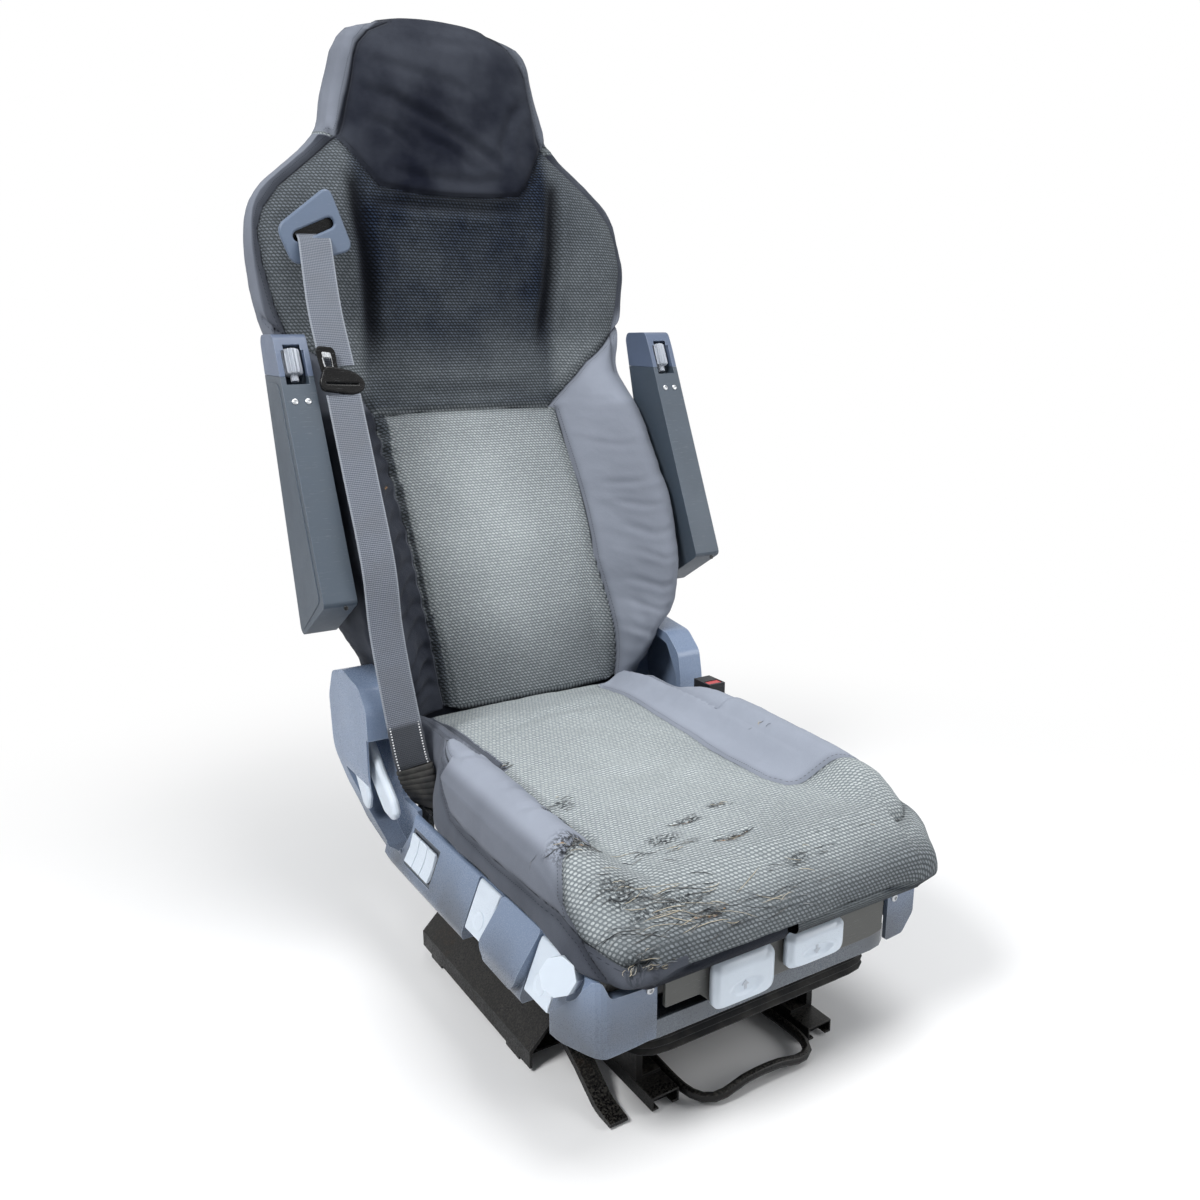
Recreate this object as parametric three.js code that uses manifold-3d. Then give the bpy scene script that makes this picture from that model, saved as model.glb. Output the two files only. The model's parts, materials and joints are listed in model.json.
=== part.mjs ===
// Air-suspended driver's seat with integrated belt, armrests and side console.
// Millimetres, +Z up. The seat faces -Y, x = 0 is its middle plane, and its console is on -X.
// The origin is the middle of the floor plate's underside, on the floor.
import * as THREE from "three";
import { mergeVertices } from "three/addons/utils/BufferGeometryUtils.js";
import Module from "manifold-3d";

const wasm = await Module();
wasm.setup();

// ---------------------------------------------------------------- driving dimensions

const gap = 0.3; // between pieces that touch

// Slide rails: the upper C-section wraps the head of the lower one.
const rail = { x: 119, front: -305, back: 145, width: 38, wall: 2.5, bottom: 3.5, top: 21 };
const lowerRail = { foot: 32, footHeight: 3, stem: 10, head: 28, headBottom: 9 };
const floorPlate = { half: 30, thick: 3 };
const slideBar = { x: rail.x - rail.width / 2 - 12, radius: 6, pivotY: -215, z: 12, crossY: -333,
  rise: 8 };

// Suspension: base, scissor, bellows, rim and top frame.
const base = { webX: rail.x + 9, webThick: 9, front: -270, back: 130, trayZ: 93, trayThick: 3 };
const sideMember = { x: -(base.webX + base.webThick + 85), front: -168, back: 151, low: 6, top: 74,
  thick: 4, width: 62 };
const tray = { halfX: 174, front: -324, back: 144 };
const scissor = { length: 300, rearY: 70, lowZ: 75, highZ: 122, bar: 22, thick: 6, tube: 8 };
const scissorX = { outer: base.webX - 7, inner: base.webX - 19 };
const rollerClearance = 3; // above and below the scissor bars' free ends
const topFrameBottom = scissor.highZ + scissor.bar / 2 + rollerClearance;
const airSpring = { y: -78, radius: 48 };
const topFrame = { halfX: 170, front: -314, back: 142, bottom: topFrameBottom, top: topFrameBottom + 5 };
const rim = { halfX: 198, front: -343, back: 162, bottom: topFrame.bottom - 4, top: topFrame.top + 14,
  wall: 4, corner: 40 };
const bellows = { halfX: 180, front: -332, back: 152, bottom: base.trayZ + base.trayThick + gap,
  top: rim.bottom - gap, pleats: 4, depth: 7, wall: 3, corner: 44 };

// Recliner, shared by brackets, levers, shaft and backrest frame.
const recline = { y: 280, z: 265, plateX: 222, plateThick: 6, boss: 30, shaft: 9 };

// Deck beams under the seat. The seat's own heights are given for a deck whose underside is at bottom.
const deck = { bottom: 159, top: 167, frontHalf: 206.7, rearHalf: recline.plateX + recline.plateThick,
  frontY: -296, rearY: 95, width: 36 };
const deckPost = 18; // height of the posts between the top frame and the deck
const seatLift = topFrame.top + deckPost - deck.bottom; // moves the whole seat with the suspension
const damper = { x: 55, baseY: 60, baseZ: 78, topY: -150, topZ: topFrame.bottom - 16, radius: 13,
  rod: 5, body: 120 };

// Seat pan, cushion carrier and cushion, behind the seat's front face.
const frontFace = -357;
const frontCover = { halfX: 160, thick: 5, bottom: 164, top: 219.5, sideDrop: 14 };
const flap = { width: 84, thick: 7, y: frontFace - 9, top: 216, leftX: -62, rightX: 42, leftHeight: 58,
  rightHeight: 44 };
const pan = { halfX: 196, front: frontFace + 27, back: 130, bottom: 176, top: 196, hingeY: 95,
  hingeZ: 184 };
const cushion = { halfX: 250, front: frontFace - 23, back: 254, bottom: 221, rearHalfX: 198, waistX: 219 };
const carrier = { halfX: 203, front: -286, back: 196, bottom: pan.top + gap, top: cushion.bottom - gap };

const shoulderHinge = { y: 487, z: 744, pin: 6 };

// Backrest. Each table holds [height, value] pairs, read with straight lines between them.
const back = { bottom: 313, split: 742, splitGap: 1.2, neck: 1073, top: 1312, panelHalf: 142 };
const panelY = [[313, 260], [430, 285], [543, 322], [650, 378], [742, 429], [850, 440], [1072, 441],
  [1142, 455], [back.top - 54, 463], [back.top - 12, 474], [back.top, 490]];
const bolsterY = [[313, 236], [360, 205], [420, 182], [512, 182], [620, 226], [732, 302], [800, 372],
  [860, 412], [960, 420], [1045, 440], [1142, 462], [back.top, 490]];
const halfX = [[313, 212], [360, 222], [405, 228], [436, 254], [560, 266], [800, 266], [868, 300],
  [960, 311], [1045, 305], [1090, 256], [1142, 184], [back.top - 111, 172], [back.top - 42, 154],
  [back.top - 17, 138], [back.top, 110]];
const backY = [[313, 350], [520, 420], [742, 505], [1050, 525], [back.top - 112, 556],
  [back.top - 22, 548], [back.top, 530]];
const shell = { thick: 4, inset: 8, bottom: 372, top: back.top - 20, turn: 20 };
const backFrame = { radius: 9, room: 34, x: 150, upperX: 172, lugThick: 6, postX: 60,
  topZ: back.top - 102 };

// Armrests, hung on the lower backrest and folded up.
const armrest = { inner: 280, outer: 326, pivotY: 243, pivotZ: 525, pin: 11 };
const armrestSide = [[182, 516], [322, 838], [334, 861], [386, 860], [391, 850], [292, 460], [280, 455]];
const armrestCapZ = 806;
const thumbwheel = { y: 327, z: 822, radius: 13, length: 44, lean: 0.412 };

// Belt.
const belt = { width: 47, thick: 1.6, x: -240 };
const guide = { y: 398, thick: 8, slotHalf: 7 };
const guideFace = [[-216, 1058], [-288, 1003], [-269, 956], [-186, 978]];
const guideSlot = { x: -239, z: 1002, half: belt.width / 2 + 9.5, lean: 0.41 };
const tongue = { width: belt.width + 13, thick: 12 };
const sleeve = { width: belt.width + 7, thick: 14, front: 103 };
const sleeveBack = sleeve.front + sleeve.width + 4; // where the console's rear hump begins
const retractor = { front: 342, rear: 405, low: 556, high: 634, half: belt.width / 2 + 6.5 };
const retractorClearance = { side: 4, front: 6, above: 8 };

// Side console and its controls.
const console_ = { inner: -(recline.plateX + recline.plateThick + 4), humpOuter: -284, skin: 3 };
const consoleSide = [[sleeveBack + 3, 330], [sleeveBack + 5, 368], [192, 396], [258, 405],
  [298, 392], [318, 350], [312, 285], [285, 225], [235, 185], [140, 160], [60, 150], [-100, 156],
  [-240, 156], [-262, 140], [frontFace, 140], [frontFace, 240], [60, 240], [112, 236],
  [sleeveBack, 236], [sleeveBack + 3, 292]];
const outerFace = { top: [-244, 233], low: [-272, 162] }; // the sloping outer face, as [x, z]
const consoleSection = [[-168, 210], [-228, 212], [-237, 233], outerFace.top, outerFace.low,
  [-264, 148], [-225, 143], [-168, 147]];
const humpSection = [[console_.inner, 410], [console_.humpOuter, 410], [console_.humpOuter, 268],
  [-268, 200], [-262, 150], [console_.inner, 150]];
const consolePlan = [[-168, frontFace], [-240, frontFace], [-264, -306], [-274, -240], [-274, 160],
  [console_.inner, 160], [console_.inner, frontFace + 12], [-168, frontFace + 12]];
const humpFront = 110;
const leverPocket = [[275, 345], [160, 326], [150, 300], [110, 252], [100, 216], [112, 182],
  [152, 174], [215, 202], [268, 250]];
const rocker = { width: 23.2, height: 39.5, pitch: 25 };
const bezelRim = 4;
const faceRun = [outerFace.top[0] - outerFace.low[0], outerFace.top[1] - outerFace.low[1]];
const bezel = { y: 54, z: 196, depth: 8, proud: 2, lean: Math.atan2(...faceRun),
  length: 2 * rocker.pitch + rocker.width + 0.8 + 2 * bezelRim,
  height: rocker.height + 2.5 + 2 * bezelRim };
// The bezel's front lies just under the sloping face, parallel to it.
const bezelX = outerFace.low[0] + faceRun[0] * (bezel.z - outerFace.low[1]) / faceRun[1]
  + (bezel.proud + 0.5) / Math.cos(bezel.lean);
const lever = { pivotY: 262, pivotZ: 318, outerX: -276.2, innerX: -265.2, outerThick: 8.8,
  innerThick: 12.6 };
const scoops = { rear: -119, front: -268, width: 50, top: 236, bottom: 168, clearance: 3 };
const lobe = { front: -240, back: -151 };
const knob = { x: -252, y: -306, z: 222, radius: 21, height: 22, stem: 6, clearance: 6 };
const knobAxis = new THREE.Vector3(-0.72, -0.55, 0.42).normalize();

// Buckle.
const buckle = { y: 92, stalkLow: 176, bodyLow: 268, bodyTop: 342, width: 30, depth: 40, button: 25 };

// ---------------------------------------------------------------- solids

// The value at a height, from a table of [height, value] pairs.
function at(table, z) {
  const last = table.length - 1;
  if (z <= table[0][0]) return table[0][1];
  if (z >= table[last][0]) return table[last][1];
  const i = table.findIndex(([height]) => height > z);
  const [z0, v0] = table[i - 1];
  const [z1, v1] = table[i];
  return v0 + ((v1 - v0) * (z - z0)) / (z1 - z0);
}

const clamp = (t) => Math.min(1, Math.max(0, t));
const smooth = (t) => clamp(t) ** 2 * (3 - 2 * clamp(t));

function box(x0, x1, y0, y1, z0, z1) {
  const size = [Math.abs(x1 - x0), Math.abs(y1 - y0), Math.abs(z1 - z0)];
  return new THREE.BoxGeometry(...size).translate((x0 + x1) / 2, (y0 + y1) / 2, (z0 + z1) / 2);
}

// A round bar between two points.
function rod(from, to, radius, sides = 16) {
  const a = new THREE.Vector3(...from);
  const b = new THREE.Vector3(...to);
  const turn = new THREE.Quaternion().setFromUnitVectors(
    new THREE.Vector3(0, 1, 0), b.clone().sub(a).normalize());
  const middle = a.clone().add(b).multiplyScalar(0.5);
  return new THREE.CylinderGeometry(radius, radius, a.distanceTo(b), sides)
    .applyQuaternion(turn)
    .translate(middle.x, middle.y, middle.z);
}

// A bent bar through points, with its bends eased.
function bentBar(points, radius, steps, sides = 10) {
  const path = new THREE.CatmullRomCurve3(points.map((p) => new THREE.Vector3(...p)), false, "centripetal");
  const section = new THREE.Shape().absarc(0, 0, radius, 0, 2 * Math.PI);
  return new THREE.ExtrudeGeometry(section, { steps, curveSegments: sides / 2, extrudePath: path });
}

// An outline with its corners rounded.
function outline(points, radius = 0) {
  const corners = points.map((p) => new THREE.Vector2(...p));
  if (!radius) return new THREE.Shape(corners);
  const shape = new THREE.Shape();
  corners.forEach((corner, i) => {
    const before = corners[(i + corners.length - 1) % corners.length];
    const after = corners[(i + 1) % corners.length];
    const reach = Math.min(radius, corner.distanceTo(before) / 2.1, corner.distanceTo(after) / 2.1);
    const start = corner.clone().lerp(before, reach / corner.distanceTo(before));
    const end = corner.clone().lerp(after, reach / corner.distanceTo(after));
    if (i) shape.lineTo(start.x, start.y);
    else shape.moveTo(start.x, start.y);
    shape.quadraticCurveTo(corner.x, corner.y, end.x, end.y);
  });
  return shape.closePath();
}

const slab = (shape, depth) =>
  new THREE.ExtrudeGeometry(shape, { depth, bevelEnabled: false, curveSegments: 4 });

// Outlines of (y, z), (x, z) and (x, y) points, extruded between two values of the third axis.
function alongX(points, x0, x1, radius) {
  const turn = new THREE.Matrix4().makeBasis(
    new THREE.Vector3(0, 1, 0), new THREE.Vector3(0, 0, 1), new THREE.Vector3(1, 0, 0));
  return slab(outline(points, radius), Math.abs(x1 - x0))
    .applyMatrix4(turn)
    .translate(Math.min(x0, x1), 0, 0);
}

function alongY(points, y0, y1, radius) {
  return slab(outline(points, radius), Math.abs(y1 - y0))
    .rotateX(Math.PI / 2)
    .translate(0, Math.max(y0, y1), 0);
}

function alongZ(points, z0, z1, radius) {
  return slab(outline(points, radius), Math.abs(z1 - z0)).translate(0, 0, Math.min(z0, z1));
}

const rectangle = (x0, x1, y0, y1) => [[x0, y0], [x1, y0], [x1, y1], [x0, y1]];

// A block whose points, given as (u, v, w) from -1 to 1, are moved to where place says.
function block(nu, nv, nw, place) {
  const geometry = new THREE.BoxGeometry(2, 2, 2, nu, nv, nw);
  const points = geometry.getAttribute("position");
  for (let i = 0; i < points.count; i++)
    points.setXYZ(i, ...place(points.getX(i), points.getY(i), points.getZ(i)));
  return geometry;
}

function mirrored(geometry) {
  const flipped = (geometry.index ? geometry.toNonIndexed() : geometry.clone()).scale(-1, 1, 1);
  const points = flipped.getAttribute("position");
  const order = [];
  for (let i = 0; i < points.count; i += 3) order.push(i, i + 2, i + 1);
  return flipped.setIndex(order).toNonIndexed();
}

function solidOf(geometry) {
  const bare = new THREE.BufferGeometry().setAttribute("position", geometry.getAttribute("position"));
  bare.setIndex(geometry.getIndex());
  const merged = mergeVertices(bare, 1e-4);
  return new wasm.Manifold(new wasm.Mesh({
    numProp: 3,
    vertProperties: Float32Array.from(merged.getAttribute("position").array),
    triVerts: Uint32Array.from(merged.getIndex().array),
  }));
}

function geometryOf(solid) {
  const mesh = solid.getMesh();
  return new THREE.BufferGeometry()
    .setAttribute("position", new THREE.BufferAttribute(Float32Array.from(mesh.vertProperties), 3))
    .setIndex(new THREE.BufferAttribute(Uint32Array.from(mesh.triVerts), 1));
}

const join = (...pieces) => geometryOf(pieces.map(solidOf).reduce((a, b) => a.add(b)));
const cut = (body, ...tools) =>
  geometryOf(tools.map(solidOf).reduce((a, b) => a.subtract(b), solidOf(body)));
const meet = (...pieces) => geometryOf(pieces.map(solidOf).reduce((a, b) => a.intersect(b)));

// ---------------------------------------------------------------- finishes and the scene graph

const finish = (color, roughness, metalness = 0) => ({ color, roughness, metalness });
const blackSteel = finish(0x17181a, 0.45, 0.6);
const bareSteel = finish(0x8f9296, 0.35, 0.9);
const consolePlastic = finish(0x7f8ea0, 0.5);
const darkPlastic = finish(0x2f363c, 0.55);
const paleGrey = finish(0xd9dde2, 0.45);
const greyPlastic = finish(0x6d7176, 0.55);
const rubber = finish(0x1b1c1e, 0.8);
const plainCloth = finish(0x4b4f57, 0.95);
const weaveCloth = finish(0x3c4145, 0.95);
const webbingCloth = finish(0x84868a, 0.9);
const redPlastic = finish(0xb3202a, 0.4);

const seat = new THREE.Group();
const suspension = new THREE.Group();
const upperSeat = new THREE.Group();
upperSeat.position.z = seatLift;
seat.add(suspension, upperSeat);

function add(name, geometry, look, parent = upperSeat) {
  const mesh = new THREE.Mesh(geometry, new THREE.MeshStandardMaterial(look));
  mesh.name = name;
  parent.add(mesh);
}

// The same piece on both sides: shape is made for +X.
function addPair(name, geometry, look, parent = upperSeat) {
  add(name + "_right", geometry, look, parent);
  add(name + "_left", mirrored(geometry), look, parent);
}

// ---------------------------------------------------------------- floor and slide

function railSections() {
  const half = rail.width / 2;
  const inside = half - rail.wall;
  const lip = 9.5;
  const { bottom, top, wall, x } = rail;
  const upper = [[-half, bottom], [-lip, bottom], [-lip, bottom + wall], [-inside, bottom + wall],
    [-inside, top - wall], [inside, top - wall], [inside, bottom + wall], [lip, bottom + wall],
    [lip, bottom], [half, bottom], [half, top], [-half, top]];
  const { foot, footHeight, stem, head, headBottom } = lowerRail;
  const headTop = top - wall - gap;
  const lower = [[-foot / 2, 0], [foot / 2, 0], [foot / 2, footHeight], [stem / 2, footHeight],
    [stem / 2, headBottom], [head / 2, headBottom], [head / 2, headTop], [-head / 2, headTop],
    [-head / 2, headBottom], [-stem / 2, headBottom], [-stem / 2, footHeight], [-foot / 2, footHeight]];
  const place = (points) => points.map(([a, b]) => [a + x, b]);
  return { upper: place(upper), lower: place(lower) };
}

function addRails() {
  const { upper, lower } = railSections();
  addPair("rail_lower", alongY(lower, rail.front + 16, rail.back), blackSteel, suspension);
  addPair("rail_upper", alongY(upper, rail.front, rail.back - 16), blackSteel, suspension);
  const edge = rail.x - lowerRail.foot / 2 - gap;
  const plate = box(-edge, edge, -floorPlate.half, floorPlate.half, 0, floorPlate.thick);
  add("floor_plate", plate, blackSteel, suspension);
}

// A black flanged skirt beside the left rail, with two feet under it and a bent strap at its front.
function addSideMember() {
  const { x, front, back: rear, low, top, thick, width } = sideMember;
  const section = [[x, low], [x + thick, low], [x + thick, 26], [x + width - 14, top - thick],
    [x + width, top - thick], [x + width, top], [x + width - 16, top], [x, 29]];
  const railEdge = -(rail.x + lowerRail.foot / 2 + gap);
  const foot = (y) => join(
    box(x + 1, railEdge, y, y + 34, 0, 3), box(x + 1, x + thick, y, y + 34, 0, low + 4));
  const strapSide = [[front - 133, 2], [front - 133, 7], [front - 100, 12], [front - 60, 38],
    [front + 4, 70], [front + 4, 58], [front - 54, 30], [front - 94, 5], [front - 108, 2]];
  add("side_member_left", join(
    alongY(section, front, rear),
    foot(front + 30),
    foot(rear - 60),
    alongX(strapSide, x + 30, x + 54, 6)), blackSteel, suspension);
}

function addSlideBar() {
  const { x, radius, pivotY, z, crossY, rise } = slideBar;
  const path = [[-x, pivotY, z], [-x, crossY + 24, z], [-x + 12, crossY + 5, z], [-x + 30, crossY, z + 1],
    [-24, crossY, z + rise], [24, crossY, z + rise], [x - 30, crossY, z + 1], [x - 12, crossY + 5, z],
    [x, crossY + 24, z], [x, pivotY, z]];
  const railInner = rail.x - rail.width / 2 - gap;
  const pin = (side) => rod([side * x, pivotY - 6, z], [side * railInner, pivotY - 6, z], 4, 12);
  add("slide_bar", join(bentBar(path, radius, 28, 8), pin(1), pin(-1)), blackSteel, suspension);
}

// ---------------------------------------------------------------- suspension

// A frame with rounded corners in plan: an outer rectangle less an inner one.
function ringFrame(x, front, rear, wall, z0, z1, radius) {
  return cut(
    alongZ(rectangle(-x, x, front, rear), z0, z1, radius),
    alongZ(rectangle(wall - x, x - wall, front + wall, rear - wall), z0 - 1, z1 + 1, radius - wall));
}

function addSuspensionBase() {
  const { webX, webThick, front, back: rear, trayZ, trayThick } = base;
  const railTop = rail.top + gap;
  const beam = [[webX - 26, railTop], [webX + webThick, railTop], [webX + webThick, trayZ + trayThick],
    [webX, trayZ + trayThick], [webX, railTop + 4], [webX - 26, railTop + 4]];
  const crossbeam = (y, z0, z1) => box(-webX - 1, webX + 1, y, y + 40, z0, z1);
  const springSeat = box(-webX - 1, webX + 1, airSpring.y - 50, airSpring.y + 50, 56, 61);
  const trayRing = cut(
    alongZ(rectangle(-tray.halfX, tray.halfX, tray.front, tray.back), trayZ, trayZ + trayThick, 50),
    box(-webX - 2, webX + 2, front + 8, rear - 20, trayZ - 1, trayZ + trayThick + 1));
  const beamRight = alongY(beam, front, rear);
  const [earX, earY] = [damper.x + damper.radius + gap, damper.baseY - 8];
  const ear = join(box(earX, earX + 5, earY, earY + 9, 50, damper.baseZ + 8),
    box(earX, earX + 5, earY, rear - 38, 50, 59));
  add("suspension_base", join(ear, beamRight, mirrored(beamRight), crossbeam(front + 120, 46, 60),
    crossbeam(rear - 40, 30, 60), springSeat, trayRing), blackSteel, suspension);
}

function scissorArm(x, startZ, endZ, pinReach, centreReach) {
  const { length, rearY, bar, thick, tube } = scissor;
  const endY = rearY - Math.sqrt(length ** 2 - (endZ - startZ) ** 2);
  const angle = Math.atan2(endZ - startZ, rearY - endY);
  const reach = length + bar / 2;
  const side = [[bar / 2, -bar / 2], [bar / 2, bar / 2], [-reach, bar / 2], [-reach, -bar / 2]];
  const arm = alongX(side, x - thick / 2, x + thick / 2, bar / 3)
    .rotateX(-angle)
    .translate(0, rearY, startZ);
  const centre = [(rearY + endY) / 2, (startZ + endZ) / 2];
  return join(arm, mirrored(arm),
    rod([-pinReach, rearY, startZ], [pinReach, rearY, startZ], tube, 12),
    rod([-x, endY, endZ], [x, endY, endZ], tube, 12),
    rod([x, ...centre], [x + centreReach, ...centre], 6, 12),
    rod([-x, ...centre], [-x - centreReach, ...centre], 6, 12));
}

function addScissor() {
  const { lowZ, highZ } = scissor;
  const outerArm = scissorArm(scissorX.outer, lowZ, highZ, base.webX - gap, 0.1);
  add("scissor_arm_outer", outerArm, blackSteel, suspension);
  const innerPin = scissorX.inner + scissor.thick / 2 + 3 - gap;
  const innerArm = scissorArm(scissorX.inner, highZ, lowZ, innerPin, 8.2);
  add("scissor_arm_inner", innerArm, blackSteel, suspension);
}

// The gaiter: a rounded rectangular wall whose pleats move in and out with height.
function addBellows() {
  const { halfX: x, front, back: rear, bottom, top, pleats, depth, wall, corner } = bellows;
  const rings = pleats * 2;
  const ring = (i, inset) => {
    const grow = -inset - (i % 2 ? 0 : depth);
    const shape = outline(rectangle(-x - grow, x + grow, front - grow, rear + grow), corner + grow);
    const z = bottom + ((top - bottom) * i) / rings;
    return shape.getPoints(4).slice(0, -1).map((p) => [p.x, p.y, z]);
  };
  const levels = [...Array(rings + 1).keys()];
  const outer = levels.map((i) => ring(i, 0));
  const inner = levels.map((i) => ring(i, wall)).reverse();
  add("bellows", loft([...outer, ...inner]), rubber, suspension);
}

// Loops of points joined in order, the last to the first: a closed ring with a hole through it.
function loft(loops) {
  const count = loops[0].length;
  const faces = [];
  loops.forEach((_, i) => {
    const next = (i + 1) % loops.length;
    for (let j = 0; j < count; j++) {
      const k = (j + 1) % count;
      const [a, b, c, d] = [i * count + j, i * count + k, next * count + k, next * count + j];
      faces.push(a, b, c, a, c, d);
    }
  });
  return new THREE.BufferGeometry()
    .setAttribute("position", new THREE.Float32BufferAttribute(loops.flat(2), 3))
    .setIndex(faces);
}

function addAirSpring() {
  const { y, radius } = airSpring;
  const low = 61 + gap;
  const high = topFrame.bottom - gap;
  const shape = [[0, low], [radius - 8, low], [radius, low + 12], [radius - 6, (low + high) / 2],
    [radius, high - 12], [radius - 8, high], [0, high]];
  const bag = new THREE.LatheGeometry(shape.map((p) => new THREE.Vector2(...p)), 24);
  add("air_spring", bag.rotateX(Math.PI / 2).translate(0, y, 0), rubber, suspension);
}

function addBellowsRim() {
  const { halfX: x, front, back: rear, bottom, top, wall, corner } = rim;
  const flange = cut(
    alongZ(rectangle(-x, x, front, rear), topFrame.top + gap, topFrame.top + gap + 3, corner),
    alongZ(rectangle(50 - x, x - 50, front + 46, rear - 40), 120, 170, 30));
  const ring = ringFrame(x, front, rear, wall, bottom, top, corner);
  add("bellows_rim", join(ring, flange), greyPlastic, suspension);
}

function addTopFrame() {
  const { halfX: x, front, back: rear } = topFrame;
  const plate = cut(
    alongZ(rectangle(-x, x, front, rear), topFrame.bottom, topFrame.top, 30),
    box(-70, 70, 0, 110, 100, 160));
  const earX = scissorX.inner + scissor.thick / 2 + 3;
  const ear = (side) => box(side * earX, side * (earX + 2.6), scissor.rearY - 10, scissor.rearY + 10,
    scissor.highZ - 10, topFrame.bottom + 1);
  const [low, high, reach] = [deck.bottom + seatLift, deck.top + seatLift, deck.width / 2];
  const post = (side, y) => box(side * 110, side * 128, y, y + 14, topFrame.top - 1, low + 1);
  const beam = (y, half) => box(-half, half, y - reach, y + reach, low, high);
  const deckEar = (side) => box(side * 150, side * 158, pan.hingeY - 9, pan.hingeY + 9, high - 1,
    pan.hingeZ + 6 + seatLift);
  const damperEar = box(damper.x + 12 + gap, damper.x + 17, damper.topY - 8, damper.topY + 8,
    damper.topZ - 8, topFrame.bottom + 1);
  const sides = [1, -1];
  add("suspension_top_frame", join(plate, damperEar, beam(deck.frontY, deck.frontHalf),
    beam(deck.rearY, deck.rearHalf), ...sides.map(ear), ...sides.map(deckEar),
    ...sides.flatMap((s) => [post(s, deck.frontY + 3), post(s, deck.rearY - 7)])), blackSteel, suspension);
}

// The damper lies along the suspension, its body on the base and its rod on the top frame.
function addDamper() {
  const { x, baseY, baseZ, topY, topZ, radius, rod: rodRadius, body } = damper;
  const length = Math.hypot(topY - baseY, topZ - baseZ);
  const point = (t) => [x, baseY + ((topY - baseY) * t) / length, baseZ + ((topZ - baseZ) * t) / length];
  const bore = rod(point(14), point(body + 1), rodRadius + gap, 12);
  add("damper_body", cut(rod(point(0), point(body), radius), bore), blackSteel, suspension);
  add("damper_rod", join(rod(point(40), point(length), rodRadius, 12),
    rod([x - 12, topY, topZ], [x + 12, topY, topZ], 7, 12)), bareSteel, suspension);
}

// ---------------------------------------------------------------- seat pan and cushion

function addSeatPan() {
  const { halfX: x, front, back: rear, bottom, top, hingeY, hingeZ } = pan;
  const lug = (side) => box(side * (158 + gap), side * 166, hingeY - 9, hingeY + 9, hingeZ - 8, bottom + 1);
  const tub = cut(
    box(-x, x, front, rear, bottom, top),
    box(4 - x, x - 4, front + 30, rear - 30, bottom + 4, top + 1),
    box(146, 158 + gap, hingeY - 12, hingeY + 12, bottom - 1, hingeZ + 8),
    box(-146, -158 - gap, hingeY - 12, hingeY + 12, bottom - 1, hingeZ + 8));
  add("seat_pan", join(tub, lug(1), lug(-1)), blackSteel);
}

function addFrontCover() {
  const { halfX: x, thick, bottom, top, sideDrop } = frontCover;
  const y = frontFace;
  const face = [[-x, bottom + sideDrop], [-114, bottom + sideDrop], [-100, bottom], [x - 20, bottom],
    [x, bottom + 4], [x, top], [-x, top]];
  const arms = (side) => box(side * 130, side * 140, y + 1, pan.front - gap, 184, 192);
  add("pan_front_cover", join(alongY(face, y, y + thick, 2), arms(1), arms(-1)), greyPlastic);
}

// A pull flap: a curved plate that hangs from a hinge behind its upper edge.
function flapPlate(x, height) {
  const { width, thick, y, top } = flap;
  const [left, right, bottom] = [x - width / 2, x + width / 2, top - height];
  const face = [[left, bottom], [right, bottom], [right + 1, top], [left - 1, top]];
  const plate = alongY(face, y - thick, y, 12);
  const stem = box(x - 16, x + 16, y - 1, frontFace - gap, top - 22, top - 12);
  return join(plate, stem);
}

function addFlaps() {
  add("flap_handle_left", flapPlate(flap.leftX, flap.leftHeight), paleGrey);
  add("flap_handle_right", flapPlate(flap.rightX, flap.rightHeight), paleGrey);
}

// Height of the cushion's top face.
function cushionTop(x, y) {
  const { front, back: rear } = cushion;
  const middle = 306 + 12 * smooth((y + 250) / 400) - 10 * smooth((y - 170) / (rear - 170));
  const bolster = 34 * smooth((Math.abs(x) - 150) / 60) * smooth((y - front - 40) / 110);
  const nose = 30 * (1 - smooth((y - front) / 70));
  const sideFall = 10 * smooth((Math.abs(x) - 215) / 35);
  return middle + bolster - nose - sideFall;
}

function cushionHalf(y) {
  const { halfX: x, rearHalfX, front } = cushion;
  const chamfer = smooth((y - 0) / 125);
  return x - (x - rearHalfX) * chamfer - 22 * (1 - smooth((y - front) / 60));
}

function addCushion() {
  const { halfX: x, front, back: rear, bottom, top } = carrier;
  const hollow = box(12 - x, x - 12, front + 20, rear - 20, bottom + 5, top + 1);
  add("cushion_base", cut(box(-x, x, front, rear, bottom, top), hollow), blackSteel);
  add("seat_cushion", block(16, 16, 3, (u, v, w) => {
    const y = cushion.front + ((v + 1) / 2) * (cushion.back - cushion.front);
    const wide = cushionHalf(y);
    const sideIn = w < -0.9 ? cushion.waistX / cushion.halfX : w < 0 ? 0.99 : 1;
    const px = u * wide * sideIn;
    const lift = (w + 1) / 2;
    const tuck = v < -0.9 ? (w < -0.9 ? 16 : w > 0.9 ? 12 : 0) : 0;
    const topZ = cushionTop(px, y);
    return [px, y + tuck, cushion.bottom + (topZ - cushion.bottom) * lift];
  }), weaveCloth);
}

// ---------------------------------------------------------------- backrest

// Depth of the frame's tubes at a height.
const frameY = (z) => at(backY, z) - backFrame.room / 2;

// A bar across the frame that the cushion's back and the shell both rest on.
function padBar(z, half, slack = 0) {
  const [low, high] = [z - 8, z + 8];
  const front = at(backY, high) - backFrame.room + gap + slack;
  return box(-half, half, front, at(backY, low) - shell.thick - gap, low, high);
}

// Front face of the backrest at a place across and a height.
function backrestFront(x, z) {
  const width = Math.max(30, at(halfX, z) - back.panelHalf - 12);
  const side = smooth((Math.abs(x) - back.panelHalf) / width);
  return at(panelY, z) + (at(bolsterY, z) - at(panelY, z)) * side;
}

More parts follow.
